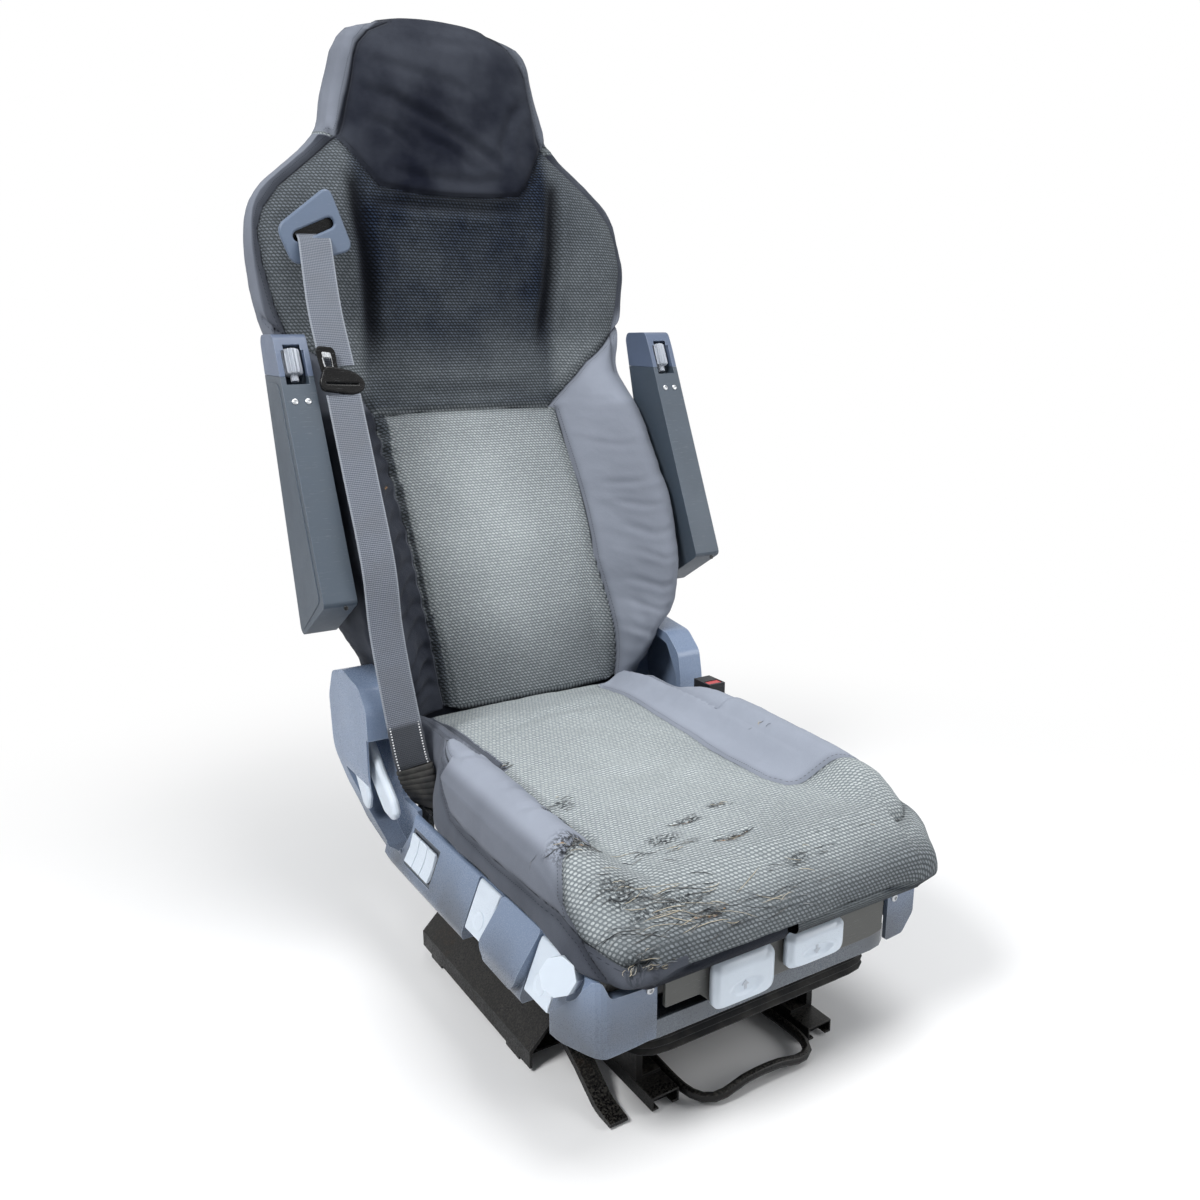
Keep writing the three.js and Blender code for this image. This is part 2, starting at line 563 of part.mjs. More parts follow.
// A soft part of the backrest between two heights. lowTilt drops its top face towards the front.
function backrestPart(low, high, rows, { lowTilt = 0, corner = 26, raiseSides = 0 } = {}) {
  return block(18, 3, rows, (u, v, w) => {
    const t = (w + 1) / 2;
    let z = low + (high - low) * t;
    const half = at(halfX, z);
    const edge = Math.abs(u) ** 8;
    const x = u * (half - (v > 0.9 ? 16 : 0));
    const front = backrestFront(x, z) + corner * edge;
    const rear = at(backY, z) - backFrame.room;
    const y = front + (rear - front) * ((v + 1) / 2);
    z += raiseSides * smooth((Math.abs(x) - back.panelHalf) / 60) * (1 - t) ** 3;
    z -= lowTilt * clamp((shoulderHinge.y - y) / 170) * t ** 4;
    return [x, y, z];
  });
}

function addBackCushions() {
  const lower = backrestPart(back.bottom, back.split, 10, { lowTilt: 25, raiseSides: 42 });
  const { side, front, above } = retractorClearance;
  const retractorRoom = box(belt.x - retractor.half - side, belt.x + retractor.half + side,
    retractor.front - front, 500, retractor.low - above, retractor.high + above);
  const bracketRoom = box(belt.x, -backFrame.x, 400, 500, 550, 584);
  add("lower_back_cushion", cut(lower, retractorRoom, bracketRoom), weaveCloth);
  const upper = backrestPart(back.split + back.splitGap, back.neck - gap, 9);
  add("upper_back_cushion", cut(upper, webbingWay()), weaveCloth);
  add("headrest_cushion", backrestPart(back.neck, back.top, 8, { corner: 18 }), plainCloth);
}

// The way that the webbing takes through the shoulder, behind the guide.
function webbingWay() {
  const half = belt.width / 2 + 4;
  return box(belt.x - half, belt.x + half, 380, 520, guideSlot.z - 1, guideSlot.z + 17);
}

// A thin shell over the back, its sides turned forward.
function backShell(low, high, rows, inset) {
  return block(12, 1, rows, (u, v, w) => {
    const z = low + ((high - low) * (w + 1)) / 2;
    const x = u * (at(halfX, z) - inset);
    const turned = shell.turn * Math.abs(u) ** 10;
    return [x, at(backY, z) - turned - (v < 0 ? shell.thick : 0), z];
  });
}

function addBackShells() {
  const { pivotZ } = armrest;
  const stubRoom = [1, -1].map((s) => box(s * 222, s * 300, 360, 440, pivotZ - 12, pivotZ + 12));
  add("back_shell_lower", cut(backShell(shell.bottom, back.split - 2, 6, shell.inset), ...stubRoom),
    darkPlastic);
  add("back_shell_upper", backShell(back.split + 4, shell.top, 12, shell.inset), darkPlastic);
}

function addLowerFrame() {
  const { radius, x } = backFrame;
  const { y, z, plateX, plateThick, boss, shaft } = recline;
  const outer = plateX - gap;
  const sideTube = (side) => bentBar([[side * x, frameY(345), 345], [side * x, frameY(520), 520],
    [side * x, frameY(730), 730], [side * x, shoulderHinge.y, shoulderHinge.z]], radius, 8, 12);
  const arm = [[y - 12, z - boss], [y + 24, z - 22], [352, 330], [356, 356], [330, 352],
    [y - 22, z + 22], [y - boss, z]];
  const plate = (side) => alongX(arm, side * (outer - plateThick), side * outer, 12);
  const cross = (height) => rod([-x, frameY(height), height], [x, frameY(height), height], radius, 12);
  add("backrest_frame_lower", join(
    sideTube(1), sideTube(-1), cross(566), padBar(566, 60, 0.6),
    box(belt.x + 8, -backFrame.x, retractor.rear + gap, frameY(560), 556, 578),
    rod([-outer + 1, 338, 340], [outer - 1, 338, 340], radius, 12),
    plate(1), plate(-1),
    rod([-backFrame.upperX + 3 + gap, shoulderHinge.y, shoulderHinge.z],
      [backFrame.upperX - 3 - gap, shoulderHinge.y, shoulderHinge.z], shoulderHinge.pin, 12),
    ...[1, -1].map(armrestStub)), blackSteel);
  const shaftEnd = outer - plateThick - gap;
  add("recline_shaft", rod([-shaftEnd, y, z], [shaftEnd, y, z], shaft), bareSteel);
}

// The pin that an armrest turns on, with its arm back to the frame.
function armrestStub(side) {
  const { pivotY, pivotZ, pin, inner } = armrest;
  const tubeY = frameY(pivotZ);
  return join(
    rod([side * backFrame.x, tubeY - 4, pivotZ], [side * 272, tubeY - 4, pivotZ], 6, 12),
    box(side * 268.5, side * 274.5, pivotY - 14, tubeY + 4, pivotZ - 14, pivotZ + 14),
    rod([side * 272, pivotY, pivotZ], [side * (inner - gap), pivotY, pivotZ], pin));
}

function addUpperFrame() {
  const { radius, upperX: x, lugThick, postX, topZ } = backFrame;
  const lugInner = x - lugThick / 2;
  const { y, z } = shoulderHinge;
  const lug = (s) => box(s * lugInner, s * (lugInner + lugThick), y - 9, y + 9, z - 9, z + 30);
  const side = (s) => bentBar([[s * x, frameY(770), 765], [s * x, frameY(900), 900],
    [s * (x - 6), frameY(1040), 1030],
    [s * (x - 40), frameY(1062), 1062], [s * postX, frameY(1085), 1085], [s * postX, frameY(1150), 1150],
    [s * postX, frameY(topZ), topZ]], radius, 20, 12);
  const cross = (height, reach) =>
    rod([-reach, frameY(height), height], [reach, frameY(height), height], radius, 12);
  add("backrest_frame_upper", join(side(1), side(-1), lug(1), lug(-1), cross(820, x), padBar(820, 60),
    cross(1062, x - 42), padBar(1180, postX), cross(topZ, postX)), blackSteel);
}

// ---------------------------------------------------------------- armrests

function addArmrest(side, name) {
  const { inner, outer } = armrest;
  const [x0, x1] = [side * inner, side * outer];
  const whole = alongX(armrestSide, x0, x1, 8);
  const above = box(side * 200, side * 400, 0, 600, armrestCapZ, 1000);
  const below = box(side * 200, side * 400, 0, 600, 300, armrestCapZ + gap);
  const wheelX = (x0 + x1) / 2;
  const along = [Math.sin(thumbwheel.lean), Math.cos(thumbwheel.lean)];
  const wheelEnd = (t, grow = 0) => [wheelX, thumbwheel.y + along[0] * (t + grow * Math.sign(t)),
    thumbwheel.z + along[1] * (t + grow * Math.sign(t))];
  const half = thumbwheel.length / 2;
  const recess = join(
    rod(wheelEnd(-half, 10), wheelEnd(half, 1.5), thumbwheel.radius + 2.5),
    box(wheelX - thumbwheel.radius - 2.5, wheelX + thumbwheel.radius + 2.5, 240, thumbwheel.y, 796, 840));
  const casing = cut(whole, above, recess);
  add("armrest_" + name, casing, darkPlastic);
  add("armrest_cap_" + name, cut(whole, below, recess), greyPlastic);
  const neck = rod(wheelEnd(-half + 1), wheelEnd(-half - 10 + gap), 4, 12);
  add("thumbwheel_" + name, join(rod(wheelEnd(-half), wheelEnd(half), thumbwheel.radius), neck), paleGrey);
}

// ---------------------------------------------------------------- side console

function addConsole() {
  const { inner, humpOuter, skin } = console_;
  const far = -300;
  const side = (x0, x1) => alongX(consoleSide, x0, x1, 8);
  const main = meet(side(far, -160), alongY(consoleSection, -360, 160, 6),
    alongZ(consolePlan, 100, 300, 14));
  const ahead = box(far, -160, -400, humpFront, 0, 500);
  const hump = cut(meet(side(far, inner), alongY(humpSection, -400, 400, 10)), ahead);
  const humpSkin = cut(meet(side(humpOuter, humpOuter + skin), alongY(humpSection, -400, 400, 10)),
    box(far, -160, -400, 170, 0, 500));
  const pocket = alongX(leverPocket, far, inner - 7, 6);
  const lobeSide = [[lobe.back, 236], [lobe.back, 186], [lobe.back - 12, 168], [lobe.front + 14, 166],
    [lobe.front, 182], [lobe.front, 236]];
  const lobeBody = meet(alongX(lobeSide, far, inner, 6),
    alongY([[-240, 240], [-278, 186], [-276, 160], [-240, 150]], -400, 0, 8));
  const scoopRoom = (y) => {
    const reach = scoops.width / 2 + scoops.clearance;
    return box(far, inner - 8, y - reach, y + reach, scoops.bottom - 40, scoops.top + 10);
  };
  const knobRoom = rod(knobPoint(0), knobPoint(60), knob.radius + knob.clearance);
  const knobHole = rod(knobPoint(-14), knobPoint(2), knob.stem + 0.6, 12);
  const pin = rod([inner - 6, lever.pivotY, lever.pivotZ],
    [lever.innerX + lever.innerThick / 2 + gap, lever.pivotY, lever.pivotZ], 7, 12);
  const deckTab = (y, half) => box(inner - 4, -half - gap, y - 12, y + 12, deck.bottom, deck.top);
  let body = cut(join(main, hump), pocket, scoopRoom(scoops.rear), scoopRoom(scoops.front));
  body = join(body, humpSkin, lobeBody, pin);
  body = join(body, deckTab(deck.frontY, deck.frontHalf), deckTab(deck.rearY, deck.rearHalf));
  add("console_shell", cut(body, knobRoom, knobHole, bezelRoom()), consolePlastic);
}

const knobPoint = (t) => [knob.x + knobAxis.x * t, knob.y + knobAxis.y * t, knob.z + knobAxis.z * t];

// Moves a shape made at the origin to the leaning face that holds the switches.
function leaned(geometry) {
  return geometry.rotateY(bezel.lean).translate(bezelX, bezel.y, bezel.z);
}

function bezelRoom() {
  const { length, height, depth } = bezel;
  const [reachY, reachZ] = [length / 2 + gap, height / 2 + gap];
  return leaned(box(-60, depth + gap, -reachY, reachY, -reachZ, reachZ));
}

function addSwitches() {
  const { length, height, depth } = bezel;
  const places = [-rocker.pitch, 0, rocker.pitch];
  const [openY, openZ] = [length / 2 - bezelRim, height / 2 - bezelRim];
  const plate = cut(
    box(-bezel.proud, depth, -length / 2, length / 2, -height / 2, height / 2),
    box(-10, depth - 2, -openY, openY, -openZ, openZ));
  add("switch_bezel", leaned(plate), greyPlastic);
  ["front", "middle", "rear"].forEach((name, i) => {
    const half = rocker.height / 2;
    const foot = depth - 2 - gap;
    const face = [[-3, -half], [foot, -2], [foot, 2], [-3, half], [-6.5, half], [-4.5, 0], [-6.5, -half]];
    const key = alongY(face, places[i] - rocker.width / 2, places[i] + rocker.width / 2);
    add("rocker_" + name, leaned(key), paleGrey);
  });
}

function addLevers() {
  const { pivotY: y, pivotZ: z, outerX, innerX, outerThick, innerThick } = lever;
  const hub = [[y + 10, z + 6], [y - 2, z + 12]];
  const outerSide = [...hub, [222, 312], [206, 280], [184, 236], [190, 216], [206, 218],
    [240, 262], [y + 8, z - 14]];
  add("recline_lever", alongX(outerSide, outerX - outerThick / 2, outerX + outerThick / 2, 5), paleGrey);
  const innerSide = [...hub, [206, 318], [166, 284], [122, 252], [114, 236], [122, 224],
    [152, 226], [200, 262], [y + 4, z - 14]];
  add("shoulder_lever", alongX(innerSide, innerX - innerThick / 2, innerX + innerThick / 2, 5), paleGrey);
}

function addPullHandles() {
  const { width, top, bottom } = scoops;
  const back = console_.inner - 8 - gap;
  const side = [[back, bottom + 10], [back - 16, bottom], [back - 28, bottom + 6], [back - 8, top - 12],
    [back - 4, top - 4 - gap], [back, top - 4 - gap]];
  const handle = (y) => alongY(side, y - width / 2, y + width / 2, 3);
  add("pull_handle_rear", handle(scoops.rear), paleGrey);
  add("pull_handle_front", handle(scoops.front), paleGrey);
}

function addKnob() {
  const grip = rod(knobPoint(gap), knobPoint(knob.height), knob.radius, 8);
  add("side_knob", join(grip, rod(knobPoint(-13), knobPoint(2), knob.stem, 12)), paleGrey);
}

// The right-hand cover: a hump over the recliner and a skirt that wraps the front corner.
function addRightCover() {
  const humpSide = [[150, 250], [154, 330], [162, 368], [192, 394], [258, 403], [298, 390],
    [318, 350], [312, 285], [285, 225], [240, 190], [170, 190]];
  const hollow = [[164, 236], [166, 330], [194, 378], [258, 390], [296, 375], [302, 300],
    [272, 230], [240, 200]];
  const hump = cut(alongX(humpSide, 232, 274, 8), alongX(hollow, 220, 270, 6));
  const top = frontCover.top - 0.5;
  const skirtSide = [[frontFace, 178], [frontFace + 17, 152], [70, 150], [70, top], [frontFace, top]];
  const skirt = alongX(skirtSide, 207, 213, 4);
  const wrapFace = [[168, 150], [196, 152], [213, 176], [213, top], [168, 212]];
  const wrap = alongY(wrapFace, frontFace, frontFace + 6, 4);
  const jog = box(208, 242, 62, 68, 150, top);
  const rear = alongX([[62, 150], [180, 172], [200, 215], [170, 250], [62, top]], 236, 242);
  add("side_cover_right", join(hump, skirt, wrap, jog, rear), consolePlastic);
}

// ---------------------------------------------------------------- recliner brackets, belt and buckle

function addReclineBrackets() {
  const { y, z, plateX, plateThick, boss } = recline;
  const side = [[deck.rearY - 20, deck.top + gap], [deck.rearY + 40, deck.top + gap], [200, 186],
    [y + 10, z - boss], [y + boss, z], [y + 6, z + boss], [y - boss, z + 8], [deck.rearY - 10, 188]];
  const plate = alongX(side, plateX, plateX + plateThick, 8);
  addPair("recline_bracket", plate, bareSteel);
}

// A strap through points. Each point is [x, y, z, turn], where turn swings its width from X towards -Y.
function strap(points, width, thick, stepsPerSpan = 3) {
  const path = new THREE.CatmullRomCurve3(points.map(([x, y, z]) => new THREE.Vector3(x, y, z)), false,
    "centripetal");
  const spans = points.length - 1;
  const turnAt = (t) => {
    const i = Math.min(spans - 1, Math.floor(t * spans));
    return points[i][3] + (points[i + 1][3] - points[i][3]) * (t * spans - i);
  };
  return block(2, 1, spans * stepsPerSpan, (u, v, w) => {
    const t = (1 + w) / 2;
    const centre = path.getPoint(t);
    const along = path.getTangent(t);
    const turn = turnAt(t);
    const across = new THREE.Vector3(Math.cos(turn), -Math.sin(turn), 0);
    across.addScaledVector(along, -across.dot(along)).normalize();
    const out = new THREE.Vector3().crossVectors(along, across).normalize();
    centre.addScaledVector(across, (u * width) / 2).addScaledVector(out, (v * thick) / 2);
    return centre.toArray();
  });
}

// The webbing's route, from the sleeve up to the tongue, and on to the guide and down behind the cushion.
const sleeveY = sleeve.front + sleeve.width / 2;
const sleeveLow = [-218, sleeveY, 236, 1.45];
const sleeveHigh = [-231, sleeveY + 4, 290, 0.35];
const lowerRoute = [[-231.12, sleeveY + 4.04, 290.48, 0.35], [-233.8, sleeveY + 4.9, 301.6, 0.3],
  [-244, 146, 388, 0.1], [-250, 164, 480, 0.05], [-251, 176, 560, 0.05],
  [-250, 232, 680, 0.1], [-249, 282, 782, 0.1]];
const upperRoute = [[-249, 300.2, 818.9, 0.1], [-250, 340, 890, 0.1], [-242, 384, 976, 0],
  [-240, 395, 998, 0], [-240, 406, 1008, 0], [-240, 440, 1010, 0], [-240, 478, 1010, 0],
  [-240, 497, 1000, 0], [-240, 495, 960, 0], [-240, 480, 800, 0], [-240, 477, 755, 0],
  [-240, 441, 650, 0]];

function addGuide() {
  const { y, thick, slotHalf } = guide;
  const { x, z, half, lean } = guideSlot;
  const bossAt = (bx, bz) => box(bx - 8, bx + 8, y, backrestFront(bx, bz) - 1, bz - 7, bz + 7);
  const slot = box(-half, half, -40, 40, -slotHalf, slotHalf).rotateY(-lean).translate(x, y, z);
  const way = box(belt.x - belt.width / 2 - 1, belt.x + belt.width / 2 + 1, y - 40, y + 40, z - 12, z + 12);
  const plate = alongY(guideFace, y - thick / 2, y + thick / 2, 12);
  add("belt_guide", cut(join(plate, bossAt(-222, 1036), bossAt(-206, 984)), slot, way), greyPlastic);
}

function addBelt() {
  add("belt_sleeve", strap([sleeveLow, sleeveHigh], sleeve.width, sleeve.thick), rubber);
  add("webbing_lower", strap(lowerRoute, belt.width, belt.thick), webbingCloth);
  add("webbing_upper", strap(upperRoute, belt.width, belt.thick, 2), webbingCloth);
  const tongueRoute = [[-249, 282.2, 782.4, 0.1], [-249, 300, 818.4, 0.1]];
  const tonguePlate = strap(tongueRoute, tongue.width, tongue.thick, 1);
  add("belt_tongue", tonguePlate, darkPlastic);
  const { half, front, rear, low, high } = retractor;
  add("belt_retractor", box(belt.x - half, belt.x + half, front, rear, low, high), darkPlastic);
  const anchorX = -recline.plateX + gap;
  const plate = box(anchorX, anchorX + 5, sleeveY - 22, sleeveY + 20, 172, 228);
  const lug = box(anchorX + 4, anchorX + 10, sleeveY - 12, sleeveY + 12, 200, 229);
  add("belt_anchor", join(plate, lug), bareSteel);
}

function addBuckle() {
  const { y, stalkLow, bodyLow, bodyTop, width, depth, button } = buckle;
  const x = recline.plateX + recline.plateThick + gap;
  const stalk = box(x, x + 5, y - 12, y + 12, stalkLow, bodyLow + 4);
  const body = box(x - 2, x - 2 + width, y - depth / 2, y + depth / 2, bodyLow, bodyTop);
  const left = x - 2 + (width - button) / 2;
  const room = box(left, left + button, y - 16, y - 2, bodyTop - 12, bodyTop + 1);
  add("buckle_stalk", cut(join(stalk, body), room), darkPlastic);
  const push = box(left + gap, left + button - gap, y - 16 + gap, y - 2 - gap, bodyTop - 8.5, bodyTop - 1);
  add("buckle_button", push, redPlastic);
}

// ---------------------------------------------------------------- assembly

addRails();
addSideMember();
addSlideBar();
addSuspensionBase();
addScissor();
addBellows();
addAirSpring();
addBellowsRim();
addTopFrame();
addDamper();
addSeatPan();
addFrontCover();
addFlaps();
addCushion();
addBackCushions();
addBackShells();
addLowerFrame();
addUpperFrame();
addArmrest(-1, "left");
addArmrest(1, "right");
addConsole();
addSwitches();
addLevers();
addPullHandles();
addKnob();
addRightCover();
addReclineBrackets();
addGuide();
addBelt();
addBuckle();

export default seat;
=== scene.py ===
"""Looks of the air-suspended driver's seat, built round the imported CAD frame."""

import json
import math

import bmesh
import bpy
import numpy as np
from mathutils import Matrix, Vector
from mathutils.bvhtree import BVHTree

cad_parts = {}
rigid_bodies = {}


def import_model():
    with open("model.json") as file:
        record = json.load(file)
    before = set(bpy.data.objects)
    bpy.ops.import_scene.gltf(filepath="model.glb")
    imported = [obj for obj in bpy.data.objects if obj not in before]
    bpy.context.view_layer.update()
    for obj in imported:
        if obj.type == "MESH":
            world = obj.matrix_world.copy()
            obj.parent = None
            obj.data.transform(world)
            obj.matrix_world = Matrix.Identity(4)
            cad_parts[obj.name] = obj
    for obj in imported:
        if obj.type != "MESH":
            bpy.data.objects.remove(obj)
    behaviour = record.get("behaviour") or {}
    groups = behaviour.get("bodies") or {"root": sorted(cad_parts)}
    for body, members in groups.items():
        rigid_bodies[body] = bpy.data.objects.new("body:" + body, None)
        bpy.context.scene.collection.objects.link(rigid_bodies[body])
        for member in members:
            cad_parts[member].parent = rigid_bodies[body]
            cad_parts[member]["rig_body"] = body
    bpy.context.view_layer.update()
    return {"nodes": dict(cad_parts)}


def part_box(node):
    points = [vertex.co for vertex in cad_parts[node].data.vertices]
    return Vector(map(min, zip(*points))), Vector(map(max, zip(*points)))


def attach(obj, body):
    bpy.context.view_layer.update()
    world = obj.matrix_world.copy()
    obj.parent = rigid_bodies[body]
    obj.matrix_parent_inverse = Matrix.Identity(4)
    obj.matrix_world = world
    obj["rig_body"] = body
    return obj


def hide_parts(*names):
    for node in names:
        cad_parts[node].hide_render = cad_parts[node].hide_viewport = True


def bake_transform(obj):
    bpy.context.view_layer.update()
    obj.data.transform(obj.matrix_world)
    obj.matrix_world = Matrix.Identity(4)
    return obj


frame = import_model()
nodes = frame["nodes"]
MM = 0.001


# --- shader graphs
def srgb(code):
    """A colour code as the linear colour that shaders use."""
    value = np.array([int(code[i:i + 2], 16) / 255 for i in (0, 2, 4)])
    linear = np.where(value <= 0.04045, value / 12.92, ((value + 0.055) / 1.055) ** 2.4)
    return (*linear, 1.0)


class Graph:
    """Short names for the nodes of a shader tree."""

    def __init__(self, owner):
        owner.use_nodes = True
        self.tree = owner.node_tree
        self.tree.nodes.clear()
        self.link = self.tree.links.new

    def new(self, kind, **values):
        node = self.tree.nodes.new(kind)
        for key, value in values.items():
            setattr(node, key, value)
        return node

    def put(self, value, socket):
        if isinstance(value, bpy.types.NodeSocket):
            self.link(value, socket)
        else:
            socket.default_value = value

    def math(self, operation, *values):
        node = self.new("ShaderNodeMath", operation=operation)
        for value, socket in zip(values, node.inputs):
            self.put(value, socket)
        return node.outputs[0]

    def times(self, first, second):
        return self.math("MULTIPLY", first, second)

    def plus(self, first, second):
        return self.math("ADD", first, second)

    def apart(self, value, centre):
        """How far a value lies from a centre, on either side."""
        return self.math("ABSOLUTE", self.math("SUBTRACT", value, centre))

    def wave(self, value, factor):
        return self.math("SINE", self.times(value, factor))

    def read(self, key, output="Fac"):
        """What the mesh holds under a name at each vertex."""
        return self.new("ShaderNodeAttribute", attribute_name=key).outputs[output]

    def split(self, vector):
        node = self.new("ShaderNodeSeparateXYZ")
        self.link(vector, node.inputs[0])
        return node.outputs

    def place(self):
        return self.new("ShaderNodeTexCoord").outputs["Object"]

    def noise(self, vector, scale, detail=3.0, rough=0.55):
        node = self.new("ShaderNodeTexNoise")
        for key, value in zip(("Vector", "Scale", "Detail", "Roughness"), (vector, scale, detail, rough)):
            self.put(value, node.inputs[key])
        return node.outputs[0]

    def stretch(self, vector, scale):
        node = self.new("ShaderNodeMapping")
        self.link(vector, node.inputs["Vector"])
        node.inputs["Scale"].default_value = scale
        return node.outputs[0]

    def ramp(self, value, low, high, start=0.0, end=1.0, kind="SMOOTHSTEP"):
        node = self.new("ShaderNodeMapRange", interpolation_type=kind)
        for key, number in zip(("Value", "From Min", "From Max", "To Min", "To Max"),
                               (value, low, high, start, end)):
            self.put(number, node.inputs[key])
        return node.outputs[0]

    def mix(self, share, first, second):
        node = self.new("ShaderNodeMix", data_type="RGBA")
        for value, number in ((share, 0), (first, 6), (second, 7)):
            self.put(value, node.inputs[number])
        return node.outputs[2]

    def mix_shaders(self, share, first, second, output):
        node = self.new("ShaderNodeMixShader")
        for value, socket in zip((share, first, second), node.inputs):
            self.link(value, socket)
        self.link(node.outputs[0], self.new(output).inputs[0])

    def bump(self, height, strength, size, after=None):
        node = self.new("ShaderNodeBump")
        node.inputs["Strength"].default_value = strength
        node.inputs["Distance"].default_value = size
        self.link(height, node.inputs["Height"])
        if after:
            self.link(after, node.inputs["Normal"])
        return node.outputs[0]


class Surface(Graph):
    """A material with one Principled shader."""

    def __init__(self, name):
        self.mat = bpy.data.materials.new(name)
        super().__init__(self.mat)
        self.shader = self.new("ShaderNodeBsdfPrincipled")
        self.link(self.shader.outputs[0], self.new("ShaderNodeOutputMaterial").inputs[0])

    def edge(self, radius=0.0012):
        """1 on worn edges, 0 on faces: how far a rounded normal turns away from the face's own."""
        rounded_normal = self.new("ShaderNodeBevel", samples=4)
        rounded_normal.inputs["Radius"].default_value = radius
        both = self.new("ShaderNodeVectorMath", operation="DOT_PRODUCT")
        self.link(rounded_normal.outputs[0], both.inputs[0])
        self.link(self.new("ShaderNodeNewGeometry").outputs["Normal"], both.inputs[1])
        return self.ramp(both.outputs["Value"], 0.985, 0.90)

    def done(self, color, rough, normal, **constants):
        for key, value in (("Base Color", color), ("Roughness", rough), ("Normal", normal)):
            self.put(value, self.shader.inputs[key])
        for key, value in constants.items():
            self.shader.inputs[key.replace("_", " ")].default_value = value
        return self.mat


# --- camera, light, floor
def add_camera():
    data = bpy.data.cameras.new("camera")
    data.sensor_width, data.lens = 36.0, 32.703
    camera = bpy.data.objects.new("camera", data)
    bpy.context.scene.collection.objects.link(camera)
    yaw, pitch, roll = (math.radians(a) for a in (32.22, 14.33, 0.03))
    ahead = Vector((math.sin(yaw) * math.cos(pitch), math.cos(yaw) * math.cos(pitch), -math.sin(pitch)))
    turn = ahead.to_track_quat("-Z", "Y").to_matrix() @ Matrix.Rotation(roll, 3, "Z")
    camera.matrix_world = Matrix.Translation((-0.7541, -1.1706, 0.8779)) @ turn.to_4x4()
    data.clip_start, data.clip_end = 0.05, 50
    bpy.context.scene.camera = camera


def add_lamp(name, at, towards, size, watts):
    data = bpy.data.lights.new(name, "AREA")
    data.shape, data.size, data.energy = "DISK", size, watts
    lamp = bpy.data.objects.new(name, data)
    bpy.context.scene.collection.objects.link(lamp)
    lamp.location = at
    lamp.rotation_mode = "QUATERNION"
    lamp.rotation_quaternion = (Vector(towards) - Vector(at)).to_track_quat("-Z", "Y")


def add_world():
    """A pale sky that lights softly, and is white where the camera or a reflection sees it."""
    scene = bpy.context.scene
    scene.view_settings.view_transform = "Standard"
    scene.world = bpy.data.worlds.new("studio")
    g = Graph(scene.world)
    ray = g.new("ShaderNodeLightPath").outputs
    seen = g.math("MAXIMUM", ray["Is Camera Ray"], ray["Is Transmission Ray"])
    seen = g.math("MAXIMUM", seen, ray["Is Glossy Ray"])
    skies = []
    for color, strength in (((0.93, 0.96, 1, 1), 0.3), ((1, 1, 1, 1), 1.0)):
        sky = g.new("ShaderNodeBackground")
        sky.inputs[0].default_value, sky.inputs[1].default_value = color, strength
        skies.append(sky.outputs[0])
    g.mix_shaders(seen, *skies, "ShaderNodeOutputWorld")


def floor_material():
    """Pale and matt near the seat, so that it takes the shadow, and plain white further away."""
    mat = bpy.data.materials.new("floor_white")
    g = Graph(mat)
    length = g.new("ShaderNodeVectorMath", operation="LENGTH")
    g.link(g.place(), length.inputs[0])
    far = g.ramp(length.outputs["Value"], 0.45, 1.5)
    far = g.times(g.new("ShaderNodeLightPath").outputs["Is Camera Ray"], far)
    grain = g.new("ShaderNodeTexNoise")
    grain.inputs["Scale"].default_value = 40
    matt = g.new("ShaderNodeBsdfDiffuse")
    g.link(g.ramp(grain.outputs[0], 0, 1, 0.9, 0.94, "LINEAR"), matt.inputs["Color"])
    white = g.new("ShaderNodeEmission")
    g.mix_shaders(far, matt.outputs[0], white.outputs[0], "ShaderNodeOutputMaterial")
    return mat


def add_floor(half=7000, drop=1):
    x, y = np.meshgrid(*[np.linspace(-half, half, 3)] * 2)
    grid_object("floor", np.stack([x, y, np.full_like(x, -drop)], -1), floor_material())


# --- meshes from grids of points
def grid_object(name, points, material, close=False, attributes=None):
    """A mesh over points[row, column] in millimetres. close joins the last column to the first."""
    return mesh_object(name, points, grid_faces(points, close), material, attributes or {})


def grid_faces(points, close, first=0):
    """The quads between the rows and columns of a grid whose points are numbered from first."""
    rows, columns = points.shape[:2]
    index = np.arange(rows * columns).reshape(rows, columns) + first
    right = np.roll(index, -1, 1) if close else index[:, 1:]
    left = index if close else index[:, :-1]
    return np.stack([left[:-1], right[:-1], right[1:], left[1:]], -1).reshape(-1, 4)


def mesh_object(name, points, faces, material, attributes):
    mesh = bpy.data.meshes.new(name)
    mesh.from_pydata((points.reshape(-1, 3) * MM).tolist(), [], faces.tolist())
    for key, value in attributes.items():
        value = np.asarray(value, np.float32)
        kind, field = ("FLOAT_VECTOR", "vector") if value.ndim == 3 else ("FLOAT", "value")
        mesh.attributes.new(key, kind, "POINT").data.foreach_set(field, value.ravel())
    shade(mesh)
    return link_object(name, mesh, material)


def shade(mesh, sharp=None):
    """Smooth shading that stays crisp across edges sharper than an angle in degrees."""
    mesh.polygons.foreach_set("use_smooth", np.ones(len(mesh.polygons), bool))
    if sharp:
        mesh.set_sharp_from_angle(angle=math.radians(sharp))


def link_object(name, mesh, material):
    obj = bpy.data.objects.new(name, mesh)
    bpy.context.scene.collection.objects.link(obj)
    mesh.materials.append(material)
    return obj


def smooth(t):
    """0 below 0, 1 above 1 and an eased step between."""
    t = np.clip(t, 0, 1)
    return t * t * (3 - 2 * t)


def table(*pairs):
    """A curve through (place, value) pairs."""
    places, values = zip(*pairs)
    return lambda z: np.interp(z, places, values)


def unit(vectors, least=0.0):
    """Vectors scaled to a length of 1. least keeps a zero vector from being divided by zero."""
    return vectors / (np.linalg.norm(vectors, axis=-1, keepdims=True) + least)


